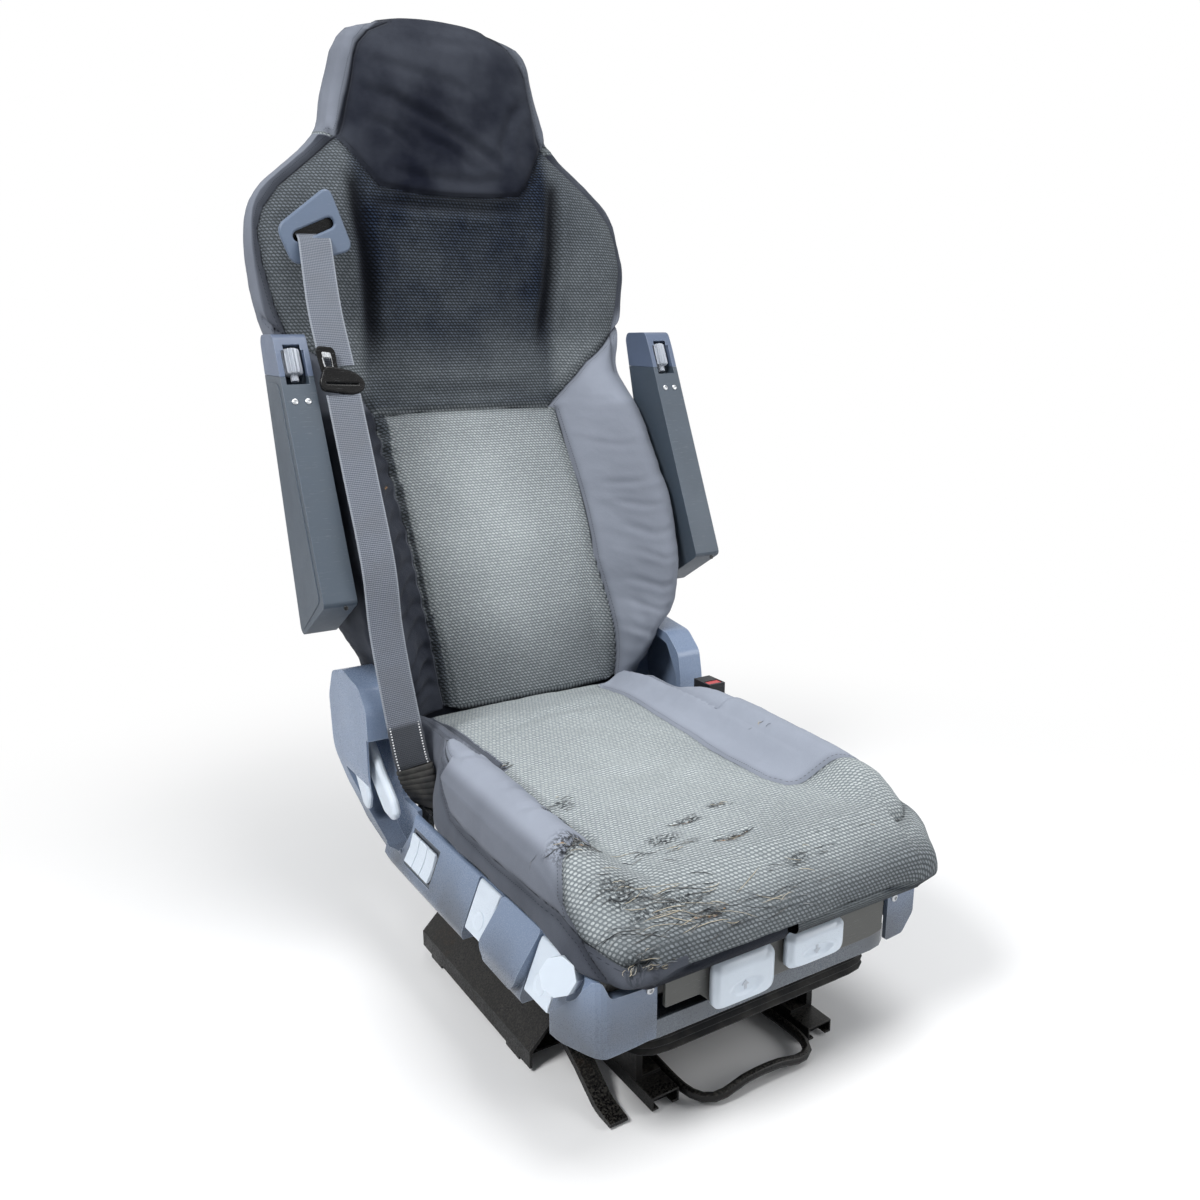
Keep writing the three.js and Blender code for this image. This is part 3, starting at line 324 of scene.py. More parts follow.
def normals(points):
    """Unit normals of a grid of points, outwards from its middle."""
    n = unit(np.cross(np.gradient(points, axis=1), np.gradient(points, axis=0)), 1e-9)
    return n if (n * (points - points.reshape(-1, 3).mean(0))).sum() > 0 else -n


def arc_lengths(points, middle):
    """Lengths over a grid: across it from its middle column, and up it along that column."""
    step = np.linalg.norm(np.diff(points, axis=1), axis=-1)
    across = np.concatenate([np.zeros((len(points), 1)), np.cumsum(step, 1)], 1)
    up = np.concatenate([[0], np.cumsum(np.linalg.norm(np.diff(points[:, middle], axis=0), axis=-1))])
    return across - across[:, middle:middle + 1], np.repeat(up[:, None], points.shape[1], 1)


def distance(x, y, line):
    """Distance from points to a line through corners, and how far along it (0 to 1) that is nearest."""
    best, where = np.full(np.shape(x), 1e6), np.zeros(np.shape(x))
    for i, (a, b) in enumerate(zip(line, line[1:])):
        dx, dy = b[0] - a[0], b[1] - a[1]
        t = np.clip(((x - a[0]) * dx + (y - a[1]) * dy) / (dx * dx + dy * dy), 0, 1)
        d = np.hypot(x - a[0] - t * dx, y - a[1] - t * dy)
        nearer = d < best
        best, where = np.where(nearer, d, best), np.where(nearer, (i + t) / (len(line) - 1), where)
    return best, where


def fold(x, y, line, depth, width, ridge=0.5):
    """A crease along a line, fading at its ends, with a soft ridge beside it."""
    d, t = distance(x, y, line)
    fade = smooth(t / 0.3) * smooth((1 - t) / 0.3)
    beside = ridge * np.exp(-((d - 1.8 * width) / width) ** 2)
    return fade * depth * (beside - np.exp(-((d / width) ** 2)))


def noise2(x, y, size, seed, cells=64):
    """Smooth noise from -1 to 1 on a lattice whose cells are size across."""
    lattice = np.random.default_rng(seed).uniform(-1, 1, (cells, cells))
    gx, gy = x / size + 17.3, y / size + 29.1
    ix, iy = np.floor(gx).astype(int), np.floor(gy).astype(int)
    fx, fy = smooth(gx - ix), smooth(gy - iy)

    def row(j):
        return lattice[ix % cells, j % cells] * (1 - fx) + lattice[(ix + 1) % cells, j % cells] * fx

    return row(iy) * (1 - fy) + row(iy + 1) * fy


# --- materials
# each pair runs from tone 0 to tone 1; tone carries the cloths' own shades and also painted light and shade
WEAVE_GROUND = ("030509", "878f93")
WEAVE_THREAD = ("2c3950", "e8eeed")
PLAIN_CLOTH = ("070a14", "9ea5b3")
LINT = ("2a3042", "bcc2cc")
WEAVE_PITCH = (0.0056, 0.0045)


def upholstery(name):
    """Woven centre panels and plain cloth, by masks in the mesh: plain, seam, tone, worn, torn, shade."""
    n = Surface(name)
    cloth = n.read("cloth", "Vector")
    flat_x, flat_y, _ = n.split(cloth)
    threads, blotch = n.noise(cloth, 1500, 2.0), n.noise(cloth, 9, 4.0)
    tone = n.plus(n.read("tone"), n.ramp(blotch, 0.3, 0.7, -0.035, 0.035))

    def toned(colors):
        return n.mix(tone, srgb(colors[0]), srgb(colors[1]))

    ground, knot = toned(WEAVE_GROUND), weave_knots(n, cloth, flat_x, flat_y)
    thread = n.mix(n.ramp(threads, 0.35, 0.7, 0.08, 0.42), toned(WEAVE_THREAD), ground)
    weave = n.mix(knot, ground, thread)
    rubbed = n.mix(n.ramp(threads, 0.3, 0.7), srgb("8f979a"), srgb("c9cfd0"))
    weave = n.mix(n.times(n.read("worn"), n.ramp(blotch, 0.3, 0.75, 0.25, 0.6)), weave, rubbed)
    speck = n.noise(n.stretch(cloth, (1, 0.3, 1)), 2400, 2.0)
    lint_color = toned(LINT)
    plain_cloth = n.mix(n.ramp(speck, 0.35, 0.7, 0.0, 0.3), toned(PLAIN_CLOTH), lint_color)
    lint = n.ramp(n.noise(cloth, 700, 3.0, 0.7), 0.68, 0.76, 0.0, 0.25)
    plain_cloth = n.mix(lint, plain_cloth, lint_color)
    plain = n.ramp(n.read("plain"), -0.0008, 0.0008)
    color = n.mix(plain, weave, plain_cloth)

    torn = n.read("torn")
    frayed = n.times(n.ramp(torn, 0.15, 0.6), n.ramp(n.noise(cloth, 260, 3.0), 0.44, 0.56))
    color = n.mix(n.times(frayed, 0.8), color, srgb("2a2d30"))
    foam = n.times(n.ramp(torn, 0.75, 0.95), n.ramp(n.noise(cloth, 180, 2.0), 0.4, 0.55))
    color = n.mix(foam, color, srgb("9a7650"))
    seam = n.read("seam")
    color = n.mix(n.times(n.ramp(seam, 0.0018, 0.0003), 0.8), color, srgb("0d0f14"))
    run = n.wave(n.plus(flat_x, flat_y), 1500.0)
    stitch = n.times(n.ramp(n.apart(seam, 0.0052), 0.0006, 0.0002), n.ramp(run, -0.2, 0.3))
    color = n.mix(n.times(n.times(stitch, plain), 0.55), color, srgb("15171d"))
    # darker in a band along the seams, plus painted shade from the shade attribute: in creases, under the
    # headrest, on the cushion's bottom and on the skirt
    seam_band_and_painted_shade = n.math("MAXIMUM", n.times(n.ramp(seam, 0.014, 0.0), 0.25), n.read("shade"))
    color = n.mix(seam_band_and_painted_shade, color, srgb("0b0d12"))

    height = n.mix(plain, n.times(knot, 0.8), n.times(speck, 0.3))
    normal = n.bump(threads, 0.25, 0.0004, n.bump(height, 0.7, 0.0010))
    normal = n.bump(n.noise(cloth, 46, 4.0, 0.6), 0.2, 0.004, normal)
    return n.done(color, n.ramp(threads, 0.2, 0.8, 0.82, 0.96), normal,
                  Sheen_Weight=0.03, Sheen_Roughness=0.5, Specular_IOR_Level=0.08)


def weave_knots(n, cloth, flat_x, flat_y):
    """Slanting oval knots in staggered rows, 1 on a knot and 0 between them."""
    pitch_x, pitch_y = WEAVE_PITCH
    across = n.math("DIVIDE", n.plus(flat_x, n.times(flat_y, 0.12)), pitch_x)
    up = n.math("DIVIDE", flat_y, pitch_y)
    shifted = n.plus(across, n.times(n.math("MODULO", n.math("FLOOR", up), 2.0), 0.5))
    x = n.math("SUBTRACT", n.math("FRACT", shifted), 0.5)
    y = n.math("SUBTRACT", n.math("FRACT", up), 0.5)
    tilted = n.plus(y, n.times(x, 0.35))
    oval = n.plus(n.math("POWER", n.math("DIVIDE", x, 0.46), 2.0),
                  n.math("POWER", n.math("DIVIDE", tilted, 0.36), 2.0))
    uneven = n.noise(n.stretch(cloth, (1 / pitch_x, 1 / pitch_y, 1)), 0.9, 1.0)
    return n.times(n.ramp(oval, 1.25, 0.25), n.ramp(uneven, 0.3, 0.65, 0.5, 1.0))


def plastic(name, color, rough, grain, depth, dirt, edge, edge_share, low=None, gloss=0.45):
    """Moulded plastic: fine grain, faint clouding, dust in the pores and lighter rubbed edges.

    low is a pair of heights: painted shade, greyed and blotchy, from none above the first to full below the
    second."""
    n = Surface(name)
    place = n.place()
    fine, cloud = n.noise(place, grain, 2.0), n.noise(place, 11, 4.0)
    base = n.mix(n.ramp(cloud, 0.35, 0.7, 0.0, dirt), srgb(color), srgb("4a4a48"))
    if low:
        height = n.split(place)[2]
        # painted shade towards the bottom, broken up by the clouding
        painted_low_shade = n.times(n.ramp(height, *low), n.ramp(cloud, 0.2, 0.7, 0.4, 0.85))
        base = n.mix(painted_low_shade, base, srgb("46494d"))
    base = n.mix(n.times(n.edge(), edge_share), base, srgb(edge))
    scratch = n.noise(n.stretch(place, (6, 60, 240)), 8, 3.0, 0.7)
    base = n.mix(n.ramp(scratch, 0.62, 0.74, 0.0, 0.18), base, srgb("dfe3e8"))
    normal = n.bump(n.noise(place, 60, 2.0), 0.08, 0.001, n.bump(fine, 0.35, depth))
    roughness = n.ramp(n.plus(fine, cloud), 0.6, 1.4, rough - 0.08, rough + 0.14)
    return n.done(base, roughness, normal, Specular_IOR_Level=gloss)


def steel(name, color, rust, rough, metal, rusted, dust, edged=0.7):
    """Painted or bare steel: scuffed edges, dust on top and rust blooms."""
    n = Surface(name)
    place = n.place()
    cloud, fine = n.noise(place, 16, 6.0, 0.62), n.noise(place, 420, 3.0)
    base = n.mix(n.times(n.edge(), edged), srgb(color), srgb("9a9894"))
    base = n.mix(n.ramp(cloud, 0.56, 0.7, 0.0, rusted), base, srgb(rust))
    upwards = n.split(n.new("ShaderNodeNewGeometry").outputs["Normal"])[2]
    top = n.times(n.ramp(upwards, 0.3, 1.0), n.ramp(fine, 0.45, 0.62, 0.0, dust))
    base = n.mix(top, base, srgb("9a968c"))
    scratch = n.noise(n.stretch(place, (120, 6, 60)), 6, 3.0, 0.7)
    roughness = n.ramp(n.plus(fine, cloud), 0.7, 1.3, rough - 0.1, rough + 0.25)
    return n.done(base, roughness, n.bump(n.plus(fine, scratch), 0.25, 0.0004), Metallic=metal,
                  Specular_IOR_Level=0.5 if metal > 0.5 else 0.25)


def rubber(name, color="1c1d1f", rough=0.62, dust=0.35):
    n = Surface(name)
    place = n.place()
    fine, cloud = n.noise(place, 700, 3.0), n.noise(place, 18, 5.0)
    base = n.mix(n.ramp(cloud, 0.4, 0.72, 0.0, dust), srgb(color), srgb("6d6b66"))
    base = n.mix(n.times(n.edge(), 0.35), base, srgb("8a8c90"))
    return n.done(base, n.ramp(fine, 0.3, 0.7, rough - 0.1, rough + 0.15), n.bump(fine, 0.3, 0.0004),
                  Specular_IOR_Level=0.2)


def webbing(name):
    """Belt webbing: ribs across it, a fine weave along it, and a dark, stitched end near the sleeve."""
    n = Surface(name)
    cloth = n.read("cloth", "Vector")
    across, along, _ = n.split(cloth)
    from_middle = n.math("ABSOLUTE", across)
    rib = n.math("ABSOLUTE", n.wave(along, 3.14159 / 0.0026))
    weave = n.plus(rib, n.times(n.wave(across, 6.28318 / 0.0024), 0.22))
    base = n.mix(n.ramp(weave, 0.1, 1.1), srgb("3e434c"), srgb("7a808b"))
    base = n.mix(n.ramp(n.noise(cloth, 14, 4.0), 0.4, 0.7, 0.0, 0.35), base, srgb("5c5e62"))
    base = n.mix(n.times(n.ramp(from_middle, 0.0205, 0.0222), 0.4), base, srgb("a9afb8"))
    dark = n.read("dark")
    base = n.mix(n.times(dark, 0.8), base, srgb("23262b"))
    stitched = n.times(dark, n.ramp(n.apart(from_middle, 0.0195), 0.0012, 0.0006))
    thread = n.times(n.ramp(n.wave(along, 6.28318 / 0.004), -0.2, 0.2), stitched)
    base = n.mix(thread, base, srgb("e6e8ea"))
    return n.done(base, 0.78, n.bump(weave, 0.5, 0.0006), Sheen_Weight=0.15, Specular_IOR_Level=0.35)


def frayed(name, color):
    n = Surface(name)
    place = n.place()
    base = n.mix(n.ramp(n.noise(place, 90, 2.0), 0.4, 0.8, 0.0, 0.4), srgb(color), srgb("c9c8c2"))
    return n.done(base, 0.9, n.bump(n.noise(place, 2000), 0.3, 0.0002))


add_camera()
add_world()
add_floor()
add_lamp("key", (-2.2, -0.7, 2.7), (0, 0.1, 0.5), 1.0, 76)
add_lamp("top", (0.3, -0.7, 3.1), (0, 0, 0.4), 1.4, 40)
add_lamp("fill", (2.2, -2.2, 1.7), (0, 0.1, 0.6), 1.8, 34)
add_lamp("back", (0.8, 3.0, 2.2), (0, 0.3, 0.6), 1.8, 22)

cloth_mat = upholstery("seat_cloth")
# the console gets painted shade below 0.235 m, full below 0.165 m, on its low front lobe
console_mat = plastic("console_plastic", "7787a0", 0.26, 700, 0.0002, 0.1, "c3cedd", 0.4, low=(0.235, 0.165))
armrest_mat = plastic("armrest_plastic", "3f4a56", 0.42, 1100, 0.0004, 0.12, "8e9aa8", 0.25)
cap_mat = plastic("armrest_cap_plastic", "56637a", 0.36, 900, 0.0003, 0.12, "a3b0c4", 0.3)
dark_mat = plastic("dark_plastic", "1b1d21", 0.45, 1000, 0.0004, 0.12, "6a6e74", 0.3, gloss=0.25)
shell_mat = plastic("shell_plastic", "24282e", 0.5, 620, 0.0006, 0.2, "7b8088", 0.3, gloss=0.3)
pale_mat = plastic("white_plastic", "cdd7e2", 0.32, 1000, 0.0002, 0.08, "f4f7fa", 0.2)
grey_mat = plastic("grey_plastic", "4a5059", 0.42, 900, 0.0003, 0.15, "a8b1bf", 0.4)
panel_mat = plastic("panel_plastic", "4c4d4b", 0.45, 700, 0.0004, 0.3, "8a8a85", 0.25)
rim_mat = plastic("rim_plastic", "596069", 0.26, 800, 0.0002, 0.2, "d8dde2", 0.4)
red_mat = plastic("red_plastic", "b3202a", 0.32, 900, 0.0002, 0.1, "ff9a9a", 0.25)
black_steel_mat = steel("black_steel", "0b0b0c", "3a2a1c", 0.34, 0.0, 0.35, 0.1, 0.12)
bare_steel_mat = steel("bare_steel", "8a8d92", "7a5236", 0.34, 0.95, 0.35, 0.2)
screw_mat = steel("screw_steel", "b9bcc0", "7a6a50", 0.25, 0.95, 0.1, 0.1)
rubber_mat = rubber("black_rubber")
webbing_mat = webbing("belt_webbing")
thread_mat = frayed("frayed_thread", "23262b")


# --- refined copies of CAD pieces
def body_of(node):
    return nodes[node]["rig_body"]


def refine(node, material, bevel, angle):
    """A copy of a hard CAD piece in the same place, smooth, with its edges rounded."""
    mesh = nodes[node].data.copy()
    bm = bmesh.new()
    bm.from_mesh(mesh)
    bmesh.ops.remove_doubles(bm, verts=bm.verts, dist=1e-5)
    bmesh.ops.dissolve_limit(bm, angle_limit=math.radians(1.0), verts=bm.verts, edges=bm.edges)
    bm.to_mesh(mesh)
    bm.free()
    mesh.materials.clear()
    old_normals = mesh.attributes.get("custom_normal")
    if old_normals:
        mesh.attributes.remove(old_normals)
    obj = link_object(node + "_finish", mesh, material)
    shade(mesh, angle + (12 if angle > 20 else 2))
    if bevel:
        edges = obj.modifiers.new("edges", "BEVEL")
        edges.width, edges.segments = bevel * MM, 2
        edges.limit_method, edges.angle_limit = "ANGLE", math.radians(angle)
        edges.use_clamp_overlap = True
        edges.miter_outer = "MITER_ARC"
        obj.modifiers.new("normals", "WEIGHTED_NORMAL").keep_sharp = True
    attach(obj, body_of(node))
    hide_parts(node)


LOOKS = {
    black_steel_mat: ["rail_lower_left", "rail_lower_right", "rail_upper_left", "rail_upper_right",
                      "floor_plate", "side_member_left", "suspension_base", "scissor_arm_outer",
                      "scissor_arm_inner", "suspension_top_frame", "damper_body", "seat_pan", "cushion_base",
                      "backrest_frame_lower", "backrest_frame_upper", "slide_bar"],
    bare_steel_mat: ["damper_rod", "recline_shaft", "recline_bracket_left", "recline_bracket_right",
                     "belt_anchor"],
    rim_mat: ["bellows_rim"],
    panel_mat: ["pan_front_cover"],
    console_mat: ["console_shell", "side_cover_right"],
    grey_mat: ["switch_bezel"],
    pale_mat: ["recline_lever", "shoulder_lever", "pull_handle_rear", "pull_handle_front",
               "rocker_front", "rocker_middle", "rocker_rear", "side_knob"],
    armrest_mat: ["armrest_left", "armrest_right"],
    cap_mat: ["armrest_cap_left", "armrest_cap_right"],
    shell_mat: ["back_shell_lower", "back_shell_upper"],
    dark_mat: ["belt_retractor", "buckle_stalk"],
    red_mat: ["buckle_button"],
    rubber_mat: ["bellows", "air_spring"],
}
# how far edges are rounded, in millimetres, and the angle in degrees above which an edge counts as one
BEVEL, SHARP = 0.7, 30
BEVELS = {"console_shell": 3.5, "side_cover_right": 2.5, "armrest_left": 2.2, "armrest_right": 2.2,
          "armrest_cap_left": 2.2, "armrest_cap_right": 2.2, "flap_handle_left": 2.2,
          "flap_handle_right": 2.2, "recline_lever": 3.6, "shoulder_lever": 4.6, "side_knob": 4.0,
          "pull_handle_rear": 2.0, "pull_handle_front": 2.0,
          "back_shell_lower": 1.0, "back_shell_upper": 1.0, "bellows": 0.0, "air_spring": 0.0}
SMOOTH = {"back_shell_lower": 40, "back_shell_upper": 40, "armrest_left": 8, "armrest_right": 8,
          "armrest_cap_left": 14, "armrest_cap_right": 14, "side_knob": 12, "console_shell": 14,
          "side_cover_right": 14}
for look, names in LOOKS.items():
    for node in names:
        refine(node, look, BEVELS.get(node, BEVEL), SMOOTH.get(node, SHARP))


# --- shapes shared with the part
panel_y = table((313, 260), (430, 285), (543, 322), (650, 378), (742, 429), (850, 440), (1072, 441),
                (1142, 455), (1258, 463), (1300, 474), (1312, 490))
bolster_y = table((313, 236), (360, 205), (420, 182), (512, 182), (620, 226), (732, 302), (800, 372),
                  (860, 412), (960, 420), (1045, 440), (1142, 462), (1312, 490))
half_x = table((313, 212), (360, 222), (405, 228), (436, 254), (560, 266), (800, 266), (868, 300),
               (960, 311), (1020, 307), (1058, 292), (1098, 244), (1142, 188), (1201, 172), (1262, 155),
               (1280, 146), (1292, 135), (1299, 123), (1306, 106), (1312, 86))
back_y = table((313, 350), (520, 420), (742, 505), (1050, 525), (1200, 556), (1290, 548), (1312, 530))
PANEL_HALF = 142
HEAD_REAR = 545
BACK_BOTTOM, LUMBAR_SEAM, SHOULDER, SHELL_TOP, BACK_TOP, CROWN = 313, 743, 1142, 1292, 1312, 1319


def eased(curve, z, reach=16):
    """A table's value with its corners eased."""
    return (curve(z - reach) + 2 * curve(z - reach / 2) + 2 * curve(z) + 2 * curve(z + reach / 2)
            + curve(z + reach)) / 8


def back_half(z):
    """Half the backrest's width at a height."""
    top = smooth((z - 1180) / 80)
    return eased(half_x, z, 24) * (1 - top) + half_x(z) * top


def back_front(x, z):
    """How far back the front of the backrest lies: the centre panel, with a bolster on either side."""
    half = back_half(z)
    side = smooth((np.abs(x) - PANEL_HALF) / np.maximum(30, half - PANEL_HALF - 12))
    panel = eased(panel_y, z)
    return panel + (eased(bolster_y, z) - panel) * side


# --- backrest cover
NECK = [(-184, 1146), (-171, 1135), (-144, 1102), (-118, 1072), (-60, 1064), (0, 1062), (60, 1064),
        (112, 1070), (129, 1087), (151, 1124), (170, 1146), (184, 1156)]
neck_z = table(*NECK)
LUMBAR = [(-150, 738), (-60, 744), (60, 744), (150, 741)]
left_seam = table((313, -124), (354, -129), (481, -138), (681, -147), (738, -150))
right_seam = table((313, 170), (339, 169), (444, 167), (513, 160), (593, 162), (670, 160), (738, 158))
left_pillow = table((313, -112), (352, -115), (481, -130), (681, -137), (742, -133))
diagonal = table((743, 150), (780, 178), (815, 209), (862, 283), (880, 320))
PIPING = [(-176, 1142), (-224, 1103), (-265, 1070), (-292, 1036), (-304, 1005), (-303, 960), (-292, 900),
          (-276, 850), (-262, 800)]
piping_x = table(*[(z, -x) for x, z in reversed(PIPING)])
HEAD_SIDE = [(-172, 1144), (-165, 1160), (-154, 1206), (-144, 1244), (-133, 1272), (-114, 1292), (-80, 1306)]


def line_of(curve, low, high):
    return [(float(curve(z)), z) for z in np.linspace(low, high, 12)]


def mirror(line):
    return [(-x, z) for x, z in line]


BACK_SEAMS = [NECK, LUMBAR, line_of(left_seam, 313, 738), line_of(right_seam, 313, 738), PIPING,
              mirror(PIPING), HEAD_SIDE, mirror(HEAD_SIDE), line_of(diagonal, 743, 880),
              mirror(line_of(diagonal, 743, 880))]
# lines of (x, z), each with its depth and width
CREASES = [
    ([(172, 1108), (169, 1054), (165, 983), (158, 928), (146, 866), (150, 800)], 11, 12),
    ([(-166, 1108), (-158, 1037), (-150, 989), (-146, 924), (-146, 857), (-147, 780)], 11, 12),
    ([(-150, 1052), (-60, 1046), (60, 1046), (158, 1052)], 5, 9),
    ([(-150, 778), (-40, 768), (60, 768), (150, 776)], 2.5, 12),
    ([(-160, 1210), (-90, 1196), (-10, 1165), (70, 1120), (110, 1096)], 5, 9),
    ([(-150, 1250), (-80, 1240), (0, 1225), (60, 1205)], 2.2, 8),
    ([(-140, 1170), (-90, 1150), (-40, 1110)], 3, 8),
    ([(150, 1220), (110, 1190), (90, 1140), (96, 1090)], 3, 9),
    ([(-100, 1288), (0, 1280), (90, 1290)], 2.0, 8),
    ([(-128, 1100), (-60, 1088), (40, 1084), (120, 1098)], 3, 8),
    ([(-60, 1150), (0, 1130), (50, 1092)], 2.0, 6),
]
BOLSTER_FOLDS = [
    ([(262, 640), (215, 628), (178, 622)], 3.0, 6), ([(264, 600), (222, 594), (185, 600)], 2.4, 6),
    ([(266, 560), (226, 552), (190, 566)], 3.4, 7), ([(266, 520), (232, 514), (196, 530)], 2.6, 6),
    ([(262, 480), (228, 470), (184, 486)], 3.2, 7), ([(256, 440), (222, 432), (180, 450)], 2.6, 6),
    ([(240, 400), (210, 394), (176, 410)], 3.2, 7), ([(250, 690), (214, 684), (182, 690)], 1.8, 6),
    ([(258, 740), (226, 752), (190, 750)], 2.0, 7), ([(196, 470), (204, 400), (190, 340)], 2.2, 7),
]
LEATHER_FOLDS = [([(-127, z - 6), (-150, z + 4), (-178, z + 2), (-212, z - 9)], 3.4 - (z % 3) * 0.5, 6.5)
                 for z in (350, 379, 405, 440, 468, 500, 527, 561, 590, 622, 655, 684, 713)]


def cloth_noise(x, y, seed, amount):
    """Three sizes of noise, each half as strong as the one before."""
    return amount * sum(0.5 ** i * noise2(x, y, size, seed + i) for i, size in enumerate((46, 21, 9)))


def back_zones(x, z):
    """Signed distance into plain cloth, and distance to the nearest seam, in millimetres."""
    head = z - neck_z(x)
    below = z < LUMBAR_SEAM
    right = np.where(below, x - right_seam(z), (x - diagonal(z)) * 0.72)
    left = np.where(below, left_seam(z) - x, (-x - diagonal(z)) * 0.72)
    edge_line = np.where(z > SHOULDER, 900, piping_x(z))
    side = np.where(z < 790, np.abs(x) - back_half(z) + 3, (np.abs(x) - edge_line) * 0.9)
    plain = np.maximum.reduce([head, right, left, side])
    seam = np.full(np.shape(x), 1e3)
    for line in BACK_SEAMS:
        seam = np.minimum(seam, distance(x, z, line)[0])
    return plain, seam


def upholstered(name, points, flat, plain, seam, tone, worn, torn, dark, close=False):
    """A mesh in the seat cloth, with what the cloth's material reads at each point.

    flat is the place on the unrolled cloth; it and the distances plain and seam are in millimetres."""
    cloth = np.stack([*flat, np.zeros_like(flat[0])], -1) * MM
    return grid_object(name, points, cloth_mat, close, {
        "cloth": cloth, "plain": plain * MM, "seam": seam * MM, "tone": tone, "worn": worn, "torn": torn,
        "shade": dark})


def backrest_points():
    """Rows from the bottom up; columns from the left rear edge round the front to the right one."""
    crown_rows = np.linspace(SHELL_TOP + 2, BACK_TOP, 9)
    z_rows = np.concatenate([np.linspace(BACK_BOTTOM, SHELL_TOP, 322), crown_rows])
    t = np.linspace(-1, 1, 171)
    u = 0.62 * t + 0.38 * np.sin(t * math.pi / 2)
    depth = np.linspace(0, 1, 15)[1:]
    z = np.repeat(z_rows[:, None], len(u), 1)
    half = back_half(z_rows)[:, None]
    corner = (26 - 8 * smooth((z_rows - 1000) / 130))[:, None]
    x = u[None] * half
    y = back_front(x, z) + corner * np.abs(u[None]) ** 8
    behind = (z_rows > SHELL_TOP + 1)[:, None]
    rear = np.where(behind, HEAD_REAR, (back_y(z_rows) - 26)[:, None])
    sides = []
    for sign, edge in ((-1, y[:, :1]), (1, y[:, -1:])):
        # above the shell a side goes on past the rear edge, round to the middle of the back
        run = (rear - edge + np.where(behind, half, 0)) * depth[None]
        sy = edge + np.minimum(run, rear - edge)
        belly = 3.0 * np.sin(math.pi * depth)[None] - 9 * smooth((depth - 0.85) / 0.15)[None]
        inset = 7 * smooth((sy - rear + 22) / 22)
        wrapped = np.maximum(0, half - np.maximum(0, run - (rear - edge)) - inset)
        sx = sign * np.where(behind, wrapped, half + belly)
        sides.append(np.stack([sx, sy, np.repeat(z_rows[:, None], len(depth), 1)], -1))
    columns = np.concatenate([sides[0][:, ::-1], np.stack([x, y, z], -1), sides[1]], 1)
    dome = 2 - 6 * (columns[..., 0] / half) ** 2
    columns[..., 2] += smooth((columns[..., 2] - 1290) / 22) * dome
    return columns, len(depth), len(u)


def close_ends(points, steps=5, rise=5.0):
    """Adds rows that fold the first and last rows back to their rear edge."""
    def cap(row, direction):
        rear = row[:, 1].max()
        out = []
        for t in np.linspace(0, 1, steps + 1)[1:]:
            folded = row.copy()
            folded[:, 1] = row[:, 1] + (rear - row[:, 1]) * t
            folded[:, 0] = row[:, 0] * (1 - 0.02 * t)
            folded[:, 2] = row[:, 2] + direction * rise * math.sin(math.pi / 2 * min(1, 2 * t))
            out.append(folded)
        return np.array(out)

    return np.concatenate([cap(points[0], -0.2)[::-1], points, cap(points[-1], 1.0)], 0), steps


head_edge = table((1130, 900), (1140, 174), (1165, 165), (1206, 154), (1244, 144), (1272, 133), (1292, 114),
                  (1306, 90))
# tones up the backrest: partly the cloths' own colours and partly painted light and shade, light where the
# lower back leans up and dark on the upright upper back and headrest
BACK_TONE = table((300, 0.34), (360, 0.42), (450, 0.66), (560, 0.74), (680, 0.66), (738, 0.55),
                  (752, 0.16), (800, 0.19), (870, 0.07), (1000, 0.03), (1062, 0.04), (1080, 0.03),
                  (1240, 0.05), (1300, 0.08))
# painted light: above the lumbar seam the left side faces, turned to the light, are lighter than the right
# ones
LEFT_SIDE_TONE = table((560, 0.12), (790, 0.42), (1150, 0.5), (1300, 0.42))
RIGHT_SIDE_TONE = table((560, 0.3), (790, 0.34), (1150, 0.3), (1300, 0.26))
# the sliver's dark tone is painted shade in the hollow beside the left seam
LEATHER_TONE, SLIVER_SHADE_TONE = 0.07, 0.16


